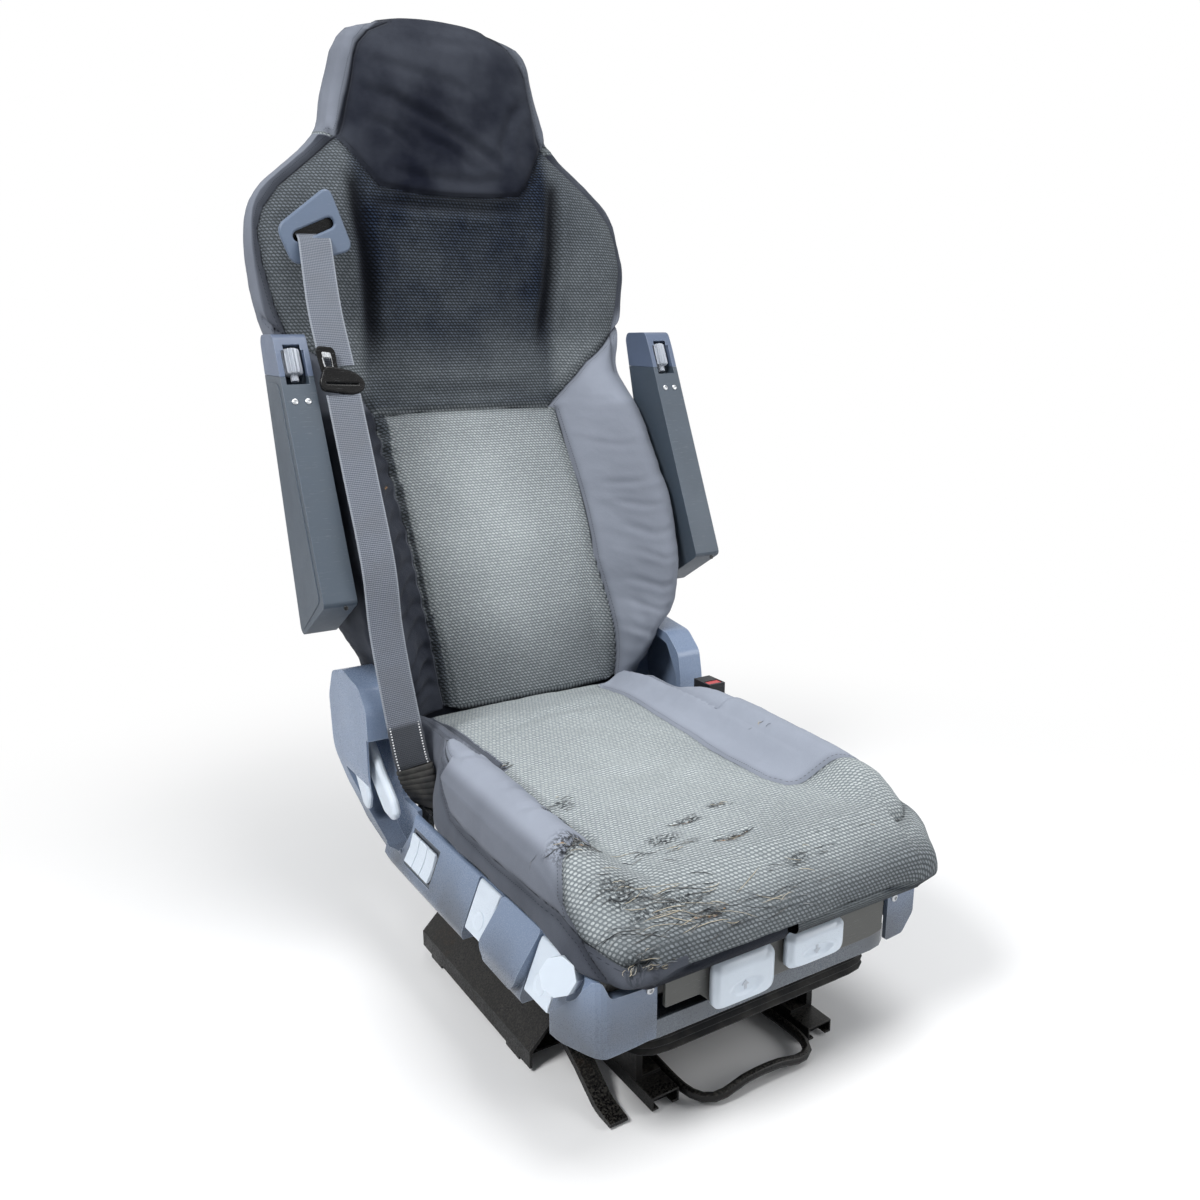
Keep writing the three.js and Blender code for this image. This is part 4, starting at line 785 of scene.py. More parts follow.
def build_backrest():
    """The whole padded front, sides and headrest as one cover: puffed between seams, creased and worn."""
    points, side, front = backrest_points()
    points, capped = close_ends(points)
    along, up = arc_lengths(points, side + front // 2)
    # fx is where a place would lie if the sides were folded out flat
    fx, z = points[..., 0].copy(), points[..., 2].copy()
    edge = np.abs(fx[:, side:side + 1])
    beyond = np.zeros(points.shape[:2])
    beyond[:, :side] = along[:, side:side + 1] - along[:, :side]
    beyond[:, side + front:] = along[:, side + front:] - along[:, side + front - 1:side + front]
    fx = np.where(beyond > 0, np.sign(fx) * (edge + beyond), fx)
    plain, seam = back_zones(fx, z)

    n = normals(points)
    puff = 7.0 * (1 - np.exp(-seam / 24)) - 3.5
    push = puff - 5.0 * np.exp(-((seam / 3.4) ** 2))
    for line, depth, width in CREASES:
        push += fold(fx, z, line, depth, width)
    for line, depth, width in BOLSTER_FOLDS:
        push += fold(fx, z, line, depth * 0.5, width * 0.8)
    for line, depth, width in BOLSTER_FOLDS:
        push += fold(fx, z + 8, mirror(line), depth * 1.5, width)
    for line, depth, width in LEATHER_FOLDS:
        push += fold(fx, z, line, depth, width, 0.9)
    push += cloth_noise(fx, z, 11, 0.9)
    lower_side = smooth((np.abs(fx) - 150) / 40) * smooth((760 - z) / 60)
    push += lower_side * 1.1 * noise2(fx * 0.5, z, 14, 31)
    pillow = smooth((fx - left_pillow(z)) / 8) * smooth((right_seam(z) - 4 - fx) / 8)
    push += 3.0 * pillow * smooth((738 - z) / 10)
    side_length = np.maximum(1, np.abs(along[:, :1]) - np.abs(along[:, side:side + 1]))
    push *= smooth((1 - beyond / side_length) / 0.12)
    push *= smooth((HEAD_REAR - 2 - points[..., 1]) / 12)
    push[:capped] = push[capped]
    push *= 0.25 + 0.75 * smooth((BACK_TOP - z) / 34)
    points = points + n * push[..., None]
    points[..., 2] = np.minimum(points[..., 2], CROWN)

    # painted highlight: the tone is lighter down the middle of the backrest
    tone = BACK_TONE(z) * (0.82 + 0.24 * np.exp(-((fx / 120) ** 2)))
    outer = smooth((np.abs(fx) - 150) / 25)
    upper = smooth((z - LUMBAR_SEAM) / 12)
    tone += outer * upper * smooth((1150 - z) / 30) * 0.16
    bolster = np.where(fx > 0, smooth((905 - z) / 30), 1 - upper) * smooth(plain / 3)
    right_tone = 0.62 - 0.0022 * np.clip(fx - 190, 0, 80) * (1 - upper) + 0.04 * upper
    tone = tone * (1 - bolster) + bolster * np.where(fx > 0, right_tone, LEATHER_TONE)
    # the side faces take their painted light and shade tones
    side_face = np.maximum(smooth((beyond - 2) / 4), smooth((np.abs(fx) - head_edge(z) - 1) / 3))
    painted_side_tone = np.where(fx < 0, LEFT_SIDE_TONE(z), RIGHT_SIDE_TONE(z))
    tone = tone * (1 - side_face) + side_face * painted_side_tone
    # painted shade in the hollow between the left seam and the pillow
    sliver = (fx < left_pillow(z)) & (fx > left_seam(z)) & (z < LUMBAR_SEAM - 1)
    tone = np.where(sliver, SLIVER_SHADE_TONE, tone)
    worn = 0.5 * np.exp(-(((fx + 10) / 95) ** 2) - ((z - 560) / 150) ** 2) * (z < 740)
    torn = np.exp(-(((fx + 176) / 16) ** 2) - ((z - 640) / 5) ** 2)
    # painted shade: darker down the two deep creases and along the one under the headrest, and in a band just
    # under the neck seam
    dark = np.zeros_like(fx)
    for (line, _, _), strength, width in zip(CREASES, (0.9, 0.9, 0.55), (13, 13, 8)):
        d, t = distance(fx, z, line)
        fade = smooth(t / 0.12) * smooth((1 - t) / 0.3)
        dark = np.maximum(dark, strength * np.exp(-((d / width) ** 2)) * fade)
    under_head = neck_z(fx) - z
    roll = smooth(under_head / 3) * smooth((16 - under_head) / 14) * (np.abs(fx) < 150)
    dark = np.maximum(dark, 0.75 * roll)
    cover = upholstered("backrest_cover", points, (along, up), plain, seam, tone, worn, torn, dark)
    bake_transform(cover)
    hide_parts("lower_back_cushion", "upper_back_cushion", "headrest_cushion")


# --- seat cushion cover
SEAT_FRONT, SEAT_BACK, SEAT_BOTTOM, SEAT_NOSE = -380.0, 254.0, 221.0, 22
SEAT_HALF, SEAT_WAIST = 250.0, 219.0
# the rows at the very back, whose puffing is held down
BACK_ROWS = 7
RIGHT_WEDGE = [(141, 250), (139, 187), (129, 55), (125, -91), (127, -170), (139, -200), (185, -213),
               (233, -229), (262, -242), (300, -256)]
LEFT_BOLSTER = [(-157, 250), (-157, 154), (-156, 60), (-160, -55), (-162, -147), (-156, -199), (-171, -229),
                (-205, -236), (-238, -258), (-262, -300), (-268, -380), (-262, -460)]
wedge_front = table((127, -170), (139, -200), (185, -213), (233, -229), (262, -242), (400, -300))
# (y, z) of the piping on the cushion's left side
SIDE_PIPING = [(250, 338), (30, 338), (14, 316), (-20, 285), (-102, 276), (-206, 279), (-284, 280),
               (-343, 268), (-377, 258), (-440, 250)]
SEAT_FOLDS = [
    ([(-150, -60), (-190, -90), (-232, -100)], 2.6, 7), ([(-160, 20), (-200, 0), (-240, 10)], 2.2, 7),
    ([(-156, -140), (-200, -160), (-240, -150)], 2.6, 7), ([(-60, -300), (-20, -330), (60, -360)], 2.4, 9),
    ([(-160, -250), (-150, -310), (-170, -370)], 2.6, 9), ([(120, -210), (60, -260), (20, -330)], 1.8, 10),
    ([(-120, 120), (0, 150), (110, 140)], 2.2, 12), ([(-110, -60), (0, -90), (100, -60)], 1.6, 16),
]
# worn patches: x, y and their reach both ways; then cuts, with their width
TEARS = [(-211, -244, 36, 24), (-149, 23, 12, 14), (-140, -110, 16, 16), (-41, -227, 26, 9),
         (14, -212, 20, 8), (-150, -350, 60, 10), (-215, -388, 22, 16), (29, -345, 24, 8), (-18, -284, 20, 6),
         (-117, -373, 22, 7), (-186, -150, 18, 30), (-90, -250, 30, 14), (-195, -320, 26, 26)]
SLITS = [([(-40, -280), (-18, -286), (8, -281)], 3.2), ([(-132, -370), (-112, -376), (-92, -372)], 3.2),
         ([(-230, -238), (-205, -250), (-180, -240)], 2.6), ([(-60, -224), (-30, -229)], 2.2)]


def by_second(line):
    """The first number of a line's corners as a curve over the second."""
    return table(*[(b, a) for a, b in reversed(line)])


def seat_top(x, y):
    """The cushion's height: a hollow between bolsters, with a nose that drops."""
    middle = 306 + 12 * smooth((y + 250) / 400) - 10 * smooth((y - 170) / 84)
    bolster = 34 * smooth((np.abs(x) - 150) / 60) * smooth((y + 340) / 110)
    nose = 30 * (1 - smooth((y + 380) / 70))
    return middle + bolster - nose - 10 * smooth((np.abs(x) - 215) / 35)


def seat_half(y):
    """Half the cushion's width at a depth: narrower in its rear part and at the nose."""
    return 250 - 52 * smooth(y / 125) - 22 * (1 - smooth((y + 380) / 60))


def seat_section(y, shrink=0.0):
    """A closed loop round the cushion at a depth: from the bottom middle, up the left side and over."""
    half = seat_half(y) - shrink
    bottom = SEAT_BOTTOM + 0.5 * shrink
    waist = half * SEAT_WAIST / SEAT_HALF
    t = np.linspace(0, 1, 13)[1:]
    left_bottom = np.stack([-waist * t, np.full_like(t, bottom)], -1)
    s = np.linspace(0, 1, 27)[1:]
    u = np.linspace(-1, 1, 171)
    u = 0.66 * u + 0.34 * np.sin(u * math.pi / 2)
    x = u * half
    z = seat_top(x, y) - 14 * np.abs(u) ** 14 - 0.9 * shrink
    out = waist + (half - waist) * smooth(s / 0.35) + 4 * np.sin(math.pi * s)
    side = np.stack([-out, bottom + (z[0] - bottom) * s], -1)[:-1]
    right = side[::-1] * (-1, 1)
    right_bottom = left_bottom[::-1] * (-1, 1)
    return np.concatenate([left_bottom, side, np.stack([x, z], -1), right, right_bottom[:-1], [[0, bottom]]])


def seat_points_grid():
    """Rows that close the back, run along the cushion, round its nose and close its front."""
    nose = SEAT_FRONT + SEAT_NOSE
    rows = [(SEAT_BACK, 60 * (1 - t), SEAT_BACK) for t in np.linspace(0, 1, 7)[:-1]]
    rows += [(y, 0, y) for y in np.linspace(SEAT_BACK, nose, 196)]
    for angle in np.linspace(0, math.pi / 2, 9)[1:]:
        y = nose - SEAT_NOSE * math.sin(angle)
        rows.append((y, 12 * (1 - math.cos(angle)), y))
    for t in np.linspace(0, 1, 9)[1:]:
        rows.append((SEAT_FRONT, 12 + 26 * t, SEAT_FRONT - 2 * math.sin(math.pi * t)))
    sections = np.array([seat_section(y, shrink) for y, shrink, _ in rows])
    stands = np.array([y for _, _, y in rows])
    depths = np.repeat(stands[:, None], sections.shape[1], 1)
    return np.stack([sections[..., 0], depths, sections[..., 1]], -1)


def build_seat():
    """The cushion's cover: woven centre, plain wedge and bolster, folds, tears and cuts."""
    points = seat_points_grid()
    along, depth = arc_lengths(points, points.shape[1] // 2)
    fx = np.clip(along, -600, 600)
    start = depth[BACK_ROWS:BACK_ROWS + 1]
    y = np.where(depth < start, SEAT_BACK, SEAT_BACK + start - depth)
    z = points[..., 2]

    side_line = table(*reversed(SIDE_PIPING))
    right_plain = np.where(y > RIGHT_WEDGE[-1][1], (fx - by_second(RIGHT_WEDGE)(y)) * 0.9, -40.0)
    right_plain = np.minimum(right_plain, (y - wedge_front(fx)) * 0.95)
    left_plain = np.minimum((by_second(LEFT_BOLSTER)(y) - fx) * 0.9, 60)
    plain = np.maximum(np.where(fx > 0, right_plain, -60), left_plain)
    under = smooth((side_line(y) - z) / 3) * (fx < -150)
    seam = np.minimum(distance(fx, y, RIGHT_WEDGE)[0], distance(fx, y, LEFT_BOLSTER)[0])
    on_side = (fx < -190) & (z < 345)
    piping = np.where(on_side, np.abs(z - side_line(y)), 1e3)
    right_side = np.where(fx > 190, np.abs(z - np.where(y > 0, 330, 296)), 1e3)
    seam = np.minimum.reduce([seam, piping, right_side])

    n = normals(points)
    push = 7.0 * (1 - np.exp(-seam / 26)) - 4.0 - 4.0 * np.exp(-((seam / 3.2) ** 2))
    push += cloth_noise(fx, y, 41, 1.3)
    for line, deep, width in SEAT_FOLDS:
        push += fold(fx, y, line, deep, width)
    torn = np.zeros_like(fx)
    for cx, cy, rx, ry in TEARS:
        wobble = 1 + 0.4 * noise2(fx, y, 12, int(cx + 500))
        reach = ((fx - cx) / rx) ** 2 + ((y - cy) / ry) ** 2
        torn = np.maximum(torn, (0.72 if rx > 24 else 0.62) * np.exp(-reach * wobble))
    for line, width in SLITS:
        d, _ = distance(fx, y, line)
        torn = np.maximum(torn, np.exp(-((d / width) ** 2)))
        push -= 2.5 * np.exp(-((d / (width * 1.4)) ** 2))
    push += torn * 0.7 * noise2(fx, y, 5, 77)
    push *= smooth((z - SEAT_BOTTOM) / 24)
    push[:BACK_ROWS] *= 0.3
    points = points + n * push[..., None]

    # painted shade: the nose, the front and the side faces, which turn away from the light from above, are
    # darker, the left side most below its piping; the rear is a little darker and the middle a little lighter
    tone = 0.88 + 0.08 * np.exp(-(((fx - 20) / 110) ** 2) - ((y + 40) / 170) ** 2)
    tone -= 0.42 * smooth((-330 - y) / 70) + 0.14 * smooth((-230 - y) / 100) + 0.06 * smooth((y - 120) / 100)
    tone -= np.where(fx < 0, 0.42, 0.25) * smooth((np.abs(fx) - 238) / 20)
    tone = np.where(fx < -150, tone - 0.05, tone)
    tone = tone * (1 - 0.75 * under) + 0.12 * under
    side_right = smooth((fx - 255) / 20)
    tone = tone * (1 - side_right) + 0.33 * side_right
    worn = 0.5 * np.exp(-(((fx + 40) / 150) ** 2) - ((y + 60) / 190) ** 2)
    plain = np.maximum(plain, np.where(under > 0.5, 20, -99))
    # painted shade towards the cushion's bottom
    dark = 0.6 * smooth((245 - z) / 20)
    cover = upholstered("seat_cushion_cover", points, (along, -depth), plain, seam, tone, worn, torn, dark)
    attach(cover, "cushion_carrier")
    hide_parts("seat_cushion")
    return points, fx, y


build_backrest()
seat_points, seat_x, seat_y = build_seat()


# --- belt
# x, y, z and how far the strap's width is swung, in radians
LOWER_ROUTE = [(-231.12, 134.04, 290.48, 0.35), (-233.8, 134.9, 301.6, 0.3), (-244, 146, 388, 0.1),
               (-250, 164, 480, 0.05), (-251, 176, 560, 0.05), (-250, 232, 680, 0.1), (-249, 282, 782, 0.1)]
UPPER_ROUTE = [(-249, 300.2, 818.9, 0.1), (-249, 338, 890, 0.1), (-242, 380, 966, 0), (-240, 391, 986, 0),
               (-240, 398, 994, 0), (-240, 416, 1001, 0), (-240, 440, 1010, 0), (-240, 478, 1010, 0),
               (-240, 497, 1000, 0), (-240, 495, 960, 0), (-240, 480, 800, 0), (-232, 477, 755, 0),
               (-224, 452, 676, 0)]
SLEEVE_ROUTE = [(-219, 130, 236, 1.3), (-225, 131, 262, 0.8), (-231, 134, 291, 0.35)]
STRAP_WIDTH, STRAP_THICK, STRAP_BOW = 47, 1.6, 0.5


def between(first, second, s, low, high):
    """The straight step from first, at low, to second, at high."""
    return first + (second - first) * (s - low) / (high - low)


def spline(points, steps):
    """A centripetal curve through points that also carries their fourth number."""
    corners = np.array(points, float)
    corners = np.vstack([2 * corners[0] - corners[1], corners, 2 * corners[-1] - corners[-2]])
    out = []
    for i in range(1, len(corners) - 2):
        a, b, c, d = corners[i - 1:i + 3]
        chords = [np.linalg.norm((q - p)[:3]) for p, q in ((a, b), (b, c), (c, d))]
        t = np.cumsum([0.0] + [max(1e-6, chord) ** 0.5 for chord in chords])
        for s in np.linspace(t[1], t[2], steps, endpoint=i == len(corners) - 3):
            abc = between(between(a, b, s, t[0], t[1]), between(b, c, s, t[1], t[2]), s, t[0], t[2])
            bcd = between(between(b, c, s, t[1], t[2]), between(c, d, s, t[2], t[3]), s, t[1], t[3])
            out.append(between(abc, bcd, s, t[1], t[2]))
    return np.array(out)


def sweep(route, section, steps=14):
    """Sections across a route, their width swung by its fourth number.

    section(t) gives (across, out) at a share of the route. Returns points, their places across and the
    length along the route."""
    path = spline(route, steps)
    centre, turn = path[:, :3], path[:, 3]
    tangent = unit(np.gradient(centre, axis=0))
    across = np.stack([np.cos(turn), -np.sin(turn), np.zeros_like(turn)], 1)
    across = unit(across - tangent * (across * tangent).sum(1, keepdims=True))
    out = np.cross(tangent, across)
    length = np.concatenate([[0], np.cumsum(np.linalg.norm(np.diff(centre, axis=0), axis=1))])
    rows, widths = [], []
    for i, s in enumerate(length):
        flat = section(s / length[-1])
        rows.append(centre[i] + across[i] * flat[:, :1] + out[i] * flat[:, 1:])
        widths.append(flat[:, 0])
    return np.array(rows), np.array(widths), length


def strap_section(_):
    """A thin strap, slightly bowed, thinner at its edges and the same all along."""
    half = STRAP_WIDTH / 2
    x = np.concatenate([np.linspace(-half, half, 25), np.linspace(half, -half, 25)])
    y = np.repeat([STRAP_THICK / 2, -STRAP_THICK / 2], 25)
    y = y * (1 - 0.45 * (np.abs(x) / half) ** 12) + STRAP_BOW * (1 - (x / half) ** 2)
    return np.stack([x, y], -1)


def build_webbing(name, route, dark):
    points, widths, length = sweep(route, strap_section)
    run = np.repeat(length[:, None], points.shape[1], 1)
    cloth = np.stack([widths, run, np.zeros_like(run)], -1) * MM
    obj = grid_object(name, points, webbing_mat, True, {"cloth": cloth, "dark": dark(points[..., 2])})
    return obj


lower = build_webbing("belt_webbing_lower", LOWER_ROUTE, lambda z: smooth((352 - z) / 4))
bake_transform(lower)
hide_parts("webbing_lower")
upper = build_webbing("belt_webbing_upper", UPPER_ROUTE, np.zeros_like)
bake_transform(upper)
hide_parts("webbing_upper")


# --- plates, turned parts and tubes
X, Y, Z = (1, 0, 0), (0, 1, 0), (0, 0, 1)


def rounded(corners, radius, steps=6):
    """A closed outline with its corners turned into arcs."""
    out = []
    for i, corner in enumerate(corners):
        trio = (corner, corners[i - 1], corners[(i + 1) % len(corners)])
        p, before, after = (np.array(v, float) for v in trio)
        a, b = before - p, after - p
        reach = min(radius, 0.45 * np.linalg.norm(a), 0.45 * np.linalg.norm(b))
        a, b = unit(a) * reach, unit(b) * reach
        for t in np.linspace(0, 1, steps):
            out.append(p + a * (1 - t) ** 2 + b * t ** 2)
    return np.array(out)


def stadium(centre, half, radius, lean, steps=8):
    """The outline of a slot: a straight run with round ends, leaning by an angle."""
    out = []
    for start, sign in ((-math.pi / 2, 1), (math.pi / 2, -1)):
        for t in np.linspace(start, start + math.pi, steps):
            out.append((sign * (half - radius) + radius * math.cos(t), radius * math.sin(t)))
    turn = np.array([[math.cos(lean), math.sin(lean)], [-math.sin(lean), math.cos(lean)]])
    return np.array(out) @ turn + centre


def plate(name, outlines, thick, edge, place, material):
    """A flat plate with rounded edges: the first outline is its rim and the others are holes.

    place takes (u, v, w), in millimetres, to the world."""
    curve = bpy.data.curves.new(name, "CURVE")
    curve.dimensions, curve.fill_mode = "2D", "BOTH"
    curve.extrude, curve.bevel_depth, curve.bevel_resolution = thick / 2 - edge, edge, 2
    for outline in outlines:
        line = curve.splines.new("POLY")
        line.points.add(len(outline) - 1)
        for point, (u, v) in zip(line.points, outline):
            point.co = (u, v, 0, 1)
        line.use_cyclic_u = True
    holder = bpy.data.objects.new(name + "_outline", curve)
    bpy.context.scene.collection.objects.link(holder)
    bpy.context.view_layer.update()
    mesh = bpy.data.meshes.new_from_object(holder.evaluated_get(bpy.context.evaluated_depsgraph_get()))
    bpy.data.objects.remove(holder)
    bpy.data.curves.remove(curve)
    points = np.array([v.co for v in mesh.vertices])
    mesh.vertices.foreach_set("co", (place(points) * MM).ravel())
    mesh.materials.clear()
    if np.linalg.det(place(np.eye(3)) - place(np.zeros((1, 3)))) < 0:
        mesh.flip_normals()
    shade(mesh, 40)
    return link_object(name, mesh, material)


def facing(origin, right, up):
    """Takes plate coordinates to a plane through origin, with right and up as its directions."""
    right, up = unit(np.array(right, float)), unit(np.array(up, float))
    out = np.cross(right, up)
    return lambda p: np.asarray(origin) + p[:, :1] * right + p[:, 1:2] * up + p[:, 2:] * out


def turned(name, profile, origin, axis, material, sides=32, ribs=0, rib_depth=0.0):
    """A turned part: profile of (along, radius) pairs in millimetres about an axis, with optional ribs."""
    axis = unit(np.array(axis, float))
    first = unit(np.cross(axis, Z if abs(axis[2]) < 0.9 else X))
    second = np.cross(axis, first)
    angles = np.linspace(0, 2 * math.pi, sides, endpoint=False)
    rib = 1 - rib_depth * (0.5 - 0.5 * np.cos(ribs * angles)) if ribs else np.ones(sides)
    ring = np.cos(angles)[:, None] * first + np.sin(angles)[:, None] * second
    rows = [np.asarray(origin) + axis * along + ring * radius * rib[:, None] for along, radius in profile]
    obj = grid_object(name, np.array(rows), material, close=True)
    shade(obj.data, 38)
    return obj


def button(radius, height, edge):
    """A low disc's profile, closed at both ends."""
    return [(0, 0.01), (0, radius), (height - edge, radius), (height - 0.3 * edge, radius - 0.3 * edge),
            (height, radius - edge), (height, 0.01)]


def add_screw(name, at, axis, body, radius=4.2):
    """A pan head with a hexagon socket."""
    head = turned(name, [(-1, 0.01), (-1, radius), (1.2, radius), (2.0, 0.75 * radius), (2.0, 0.5 * radius),
                         (0.6, 0.45 * radius), (0.6, 0.01)], at, axis, screw_mat, 24)
    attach(head, body)


def tube(path, radius, sides=6):
    """Points of a tube along a path in millimetres, tapering at its ends."""
    tangent = unit(np.gradient(path, axis=0))
    first = unit(np.cross(tangent, (0.13, 0.21, 0.97)))
    second = np.cross(tangent, first)
    rise = np.linspace(0.02, 1, len(path))
    taper = np.minimum(1, 4 * np.minimum(rise, np.linspace(1, 0.02, len(path))))
    angles = np.linspace(0, 2 * math.pi, sides, endpoint=False)
    turn = angles[None, :, None]
    ring = np.cos(turn) * first[:, None] + np.sin(turn) * second[:, None]
    return path[:, None] + ring * (radius * taper)[:, None, None]


def joined(name, grids, material):
    """One mesh from many closed tubes."""
    points, faces, start = [], [], 0
    for grid in grids:
        faces.append(grid_faces(grid, True, start))
        points.append(grid.reshape(-1, 3))
        start += len(points[-1])
    return mesh_object(name, np.concatenate(points), np.concatenate(faces), material, {})


def box_of(node):
    """The corners of a CAD piece's box, in millimetres."""
    return [np.array(corner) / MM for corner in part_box(node)]


# --- belt hardware
GUIDE_FACE = [(-216, 1058), (-288, 1003), (-269, 956), (-186, 978)]
GUIDE_SLOT = (-239, 1002)
GUIDE_FRONT, GUIDE_LEAN = 394.0, 0.41


def add_guide():
    """The plate that the belt comes out of, its slanting slot with a dark lining, and its arm."""
    def at_depth(back):
        return facing((0, GUIDE_FRONT + back, 0), X, Z)

    outlines = [rounded(GUIDE_FACE, 12), stadium(GUIDE_SLOT, 35, 10.5, GUIDE_LEAN)]
    body = plate("guide_plate", outlines, 8, 3.0, at_depth(4), guide_mat)
    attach(body, "backrest_upper")
    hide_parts("belt_guide")
    lining = [stadium(GUIDE_SLOT, 38, 14, GUIDE_LEAN)]
    back = plate("guide_slot_lining", lining, 2, 0.4, at_depth(9.5), black_gloss_mat)
    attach(back, "backrest_upper")
    block = [rounded([(-252, 1022), (-256, 974), (-212, 974), (-212, 1022)], 10)]
    arm = plate("guide_arm", block, 30, 3, at_depth(26), black_gloss_mat)
    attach(arm, "backrest_upper")


def add_tongue():
    """The tongue that slides on the belt: a moulded wedge with a slot, and an open steel loop."""
    low, high = box_of("belt_tongue")
    middle = (low + high) / 2
    up = np.array((0, 0.30, 0.95))
    place = facing(middle - (0, 3.5, 0), (1, 0, -0.1), up)
    wedge = rounded([(-29, -6), (-27, -14), (14, -17), (28, -10), (30, 0), (20, 10), (2, 14), (-20, 16)], 5)
    body = plate("tongue_body", [wedge, stadium((0, -5), 25, 3, 0.05)], 9, 2.6, place, black_gloss_mat)
    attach(body, "belt_tongue")
    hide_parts("belt_tongue")
    loop = rounded([(-25, 8), (-29, 40), (-25, 44), (-8, 44), (-4, 40), (-3, 8)], 4)
    hole = rounded([(-20, 17), (-23, 37), (-10, 37), (-9, 17)], 3)
    steel_loop = plate("tongue_loop", [loop, hole], 3, 1.2, place, black_gloss_mat)
    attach(steel_loop, "belt_tongue")
    edge = rounded([(-21, 15), (-23, 30), (-10, 30), (-9, 15)], 3)
    trim = plate("tongue_loop_edge", [edge, hole], 4, 0.4, place, screw_mat)
    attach(trim, "belt_tongue")


def sleeve_section(rings):
    """A rounded rectangle that bulges at each ring and flares to a boot at the foot."""
    angles = np.linspace(0, 2 * math.pi, 40, endpoint=False)
    x, y = np.cos(angles), np.sin(angles)
    square = (np.abs(x) ** 4 + np.abs(y) ** 4) ** -0.25
    shape = np.stack([x * square, y * square], -1)

    def section(t):
        ridge = 1.6 * abs(math.sin(math.pi * rings * t)) ** 0.6 * smooth(np.array((t - 0.12) / 0.05))
        flare = 2.5 * float(smooth(np.array((0.2 - t) / 0.2)))
        return shape * (24.0 + ridge + flare, 5.2 + ridge + flare)

    return section


def add_sleeve():
    points, _, _ = sweep(SLEEVE_ROUTE, sleeve_section(7), 40)
    obj = grid_object("belt_sleeve_ribbed", points, rubber_mat, close=True)
    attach(obj, body_of("belt_sleeve"))
    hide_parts("belt_sleeve")


black_gloss_mat = plastic("black_moulding", "0a0a0b", 0.22, 900, 0.0002, 0.02, "8f969e", 0.3, gloss=0.2)
guide_mat = plastic("guide_plastic", "5d6b80", 0.36, 1000, 0.0003, 0.1, "a8b1bf", 0.5)
add_guide()
add_tongue()
add_sleeve()


# --- dark skirt under the backrest, in the shaded gap
def add_skirt():
    """Dark cloth that closes the gap between the backrest and the seat: a sheet put where there is shade,
    nearly black, with painted shade.
    """
    s = np.linspace(0, 1, 25)
    u = np.linspace(-1, 1, 61)
    middle = np.stack([262.5 + 6 * smooth(s), 226 + 92 * s], -1)
    rows = []
    for y, z in middle:
        sag = 1.2 * np.sin(9 * u + z * 0.03)
        front = np.stack([u * 196, y + sag, np.full_like(u, z)], -1)
        rows.append(np.concatenate([front, front[::-1] + (0, 2.4, 0)]))
    points = np.array(rows)
    flat = points[..., 0]
    zero = np.zeros_like(flat)
    # tone 0.02 and shade 0.35: painted shade on the sheet
    obj = upholstered("back_gap_shade_sheet", points, (flat, points[..., 2]), zero + 20, zero + 1000, zero + 0.02,
                      zero, zero, zero + 0.35, close=True)
    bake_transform(obj)


add_skirt()


# --- armrest details
wheel_mat = plastic("wheel_plastic", "a4aab4", 0.4, 1000, 0.0002, 0.1, "f4f7fa", 0.35)


# millimetres from the seat's middle to an armrest's middle and outer side; and its lean in radians
ARM_MIDDLE, ARM_SIDE, ARM_LEAN = 303, 326, 0.412


def add_armrest_details(side, sign):
    """The ribbed wheel, outer panel, two screws, a hole and the pivot cap of an armrest."""
    body = body_of("armrest_" + side)
    low, high = box_of("thumbwheel_" + side)
    axis = np.array((0, -math.sin(ARM_LEAN), -math.cos(ARM_LEAN)))
    top = (low + high) / 2 - axis * 22.5
    wheel = turned("wheel_" + side, [(0, 0.01), (0, 9.5), (1.5, 12.3), (3, 13), (33, 13), (35, 12), (36, 8),
                                     (36.5, 5.5), (45, 5.5), (45, 0.01)], top, axis, wheel_mat, 112, 14, 0.24)
    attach(wheel, body_of("thumbwheel_" + side))
    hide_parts("thumbwheel_" + side)
    slope = np.array((0, -math.cos(ARM_LEAN), math.sin(ARM_LEAN)))
    panel = rounded([(199, 521), (318, 796), (372, 796), (287, 468), (278, 464)], 8)
    outside = facing((sign * ARM_SIDE, 0, 0), Y, Z)
    shell = plate("armrest_panel_" + side, [panel], 2.2, 0.8, outside, armrest_mat)
    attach(shell, body)
    for across in (-9, 9):
        at = np.array((sign * ARM_MIDDLE + across, *front_of_armrest(774)))
        which = "in" if across * sign < 0 else "out"
        add_screw("armrest_screw_%s_%s" % (side, which), at + slope * -0.4, slope, body, 4.2)
    at = (sign * ARM_MIDDLE + 6, *front_of_armrest(512))
    hole = turned("armrest_hole_" + side, button(3.4, 0.6, 0.2), at, slope, black_gloss_mat, 20)
    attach(hole, body)
    profile = [(-1, 0.01), (-1, 13), (0.8, 13), (1.1, 12.4), (0.9, 11), (0.9, 0.01)]
    pivot = (sign * ARM_SIDE, 273, 500)
    cap = turned("armrest_pivot_cap_" + side, profile, pivot, (sign, 0, 0), armrest_mat, 40)
    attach(cap, body)


def front_of_armrest(z):
    """The armrest's front face, as (y, z), at a height."""
    return np.interp(z, [516, 838], [182, 322]), z


def add_dimple(node):
    """A shallow finger dish on a pull handle's sloping face."""
    low, high = box_of(node)
    at = (low[0] + 6.2, (low[1] + high[1]) / 2, low[2] + 23)
    profile = [(-1, 0.01), (-1, 12), (0.5, 12), (0.9, 11.2), (0.6, 10), (-0.3, 6), (-0.6, 0.01)]
    dish = turned(node + "_dish", profile, at, (-0.93, 0, 0.37), pale_mat, 40)
    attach(dish, body_of(node))


add_dimple("pull_handle_rear")
add_dimple("pull_handle_front")
add_armrest_details("left", -1)
add_armrest_details("right", 1)


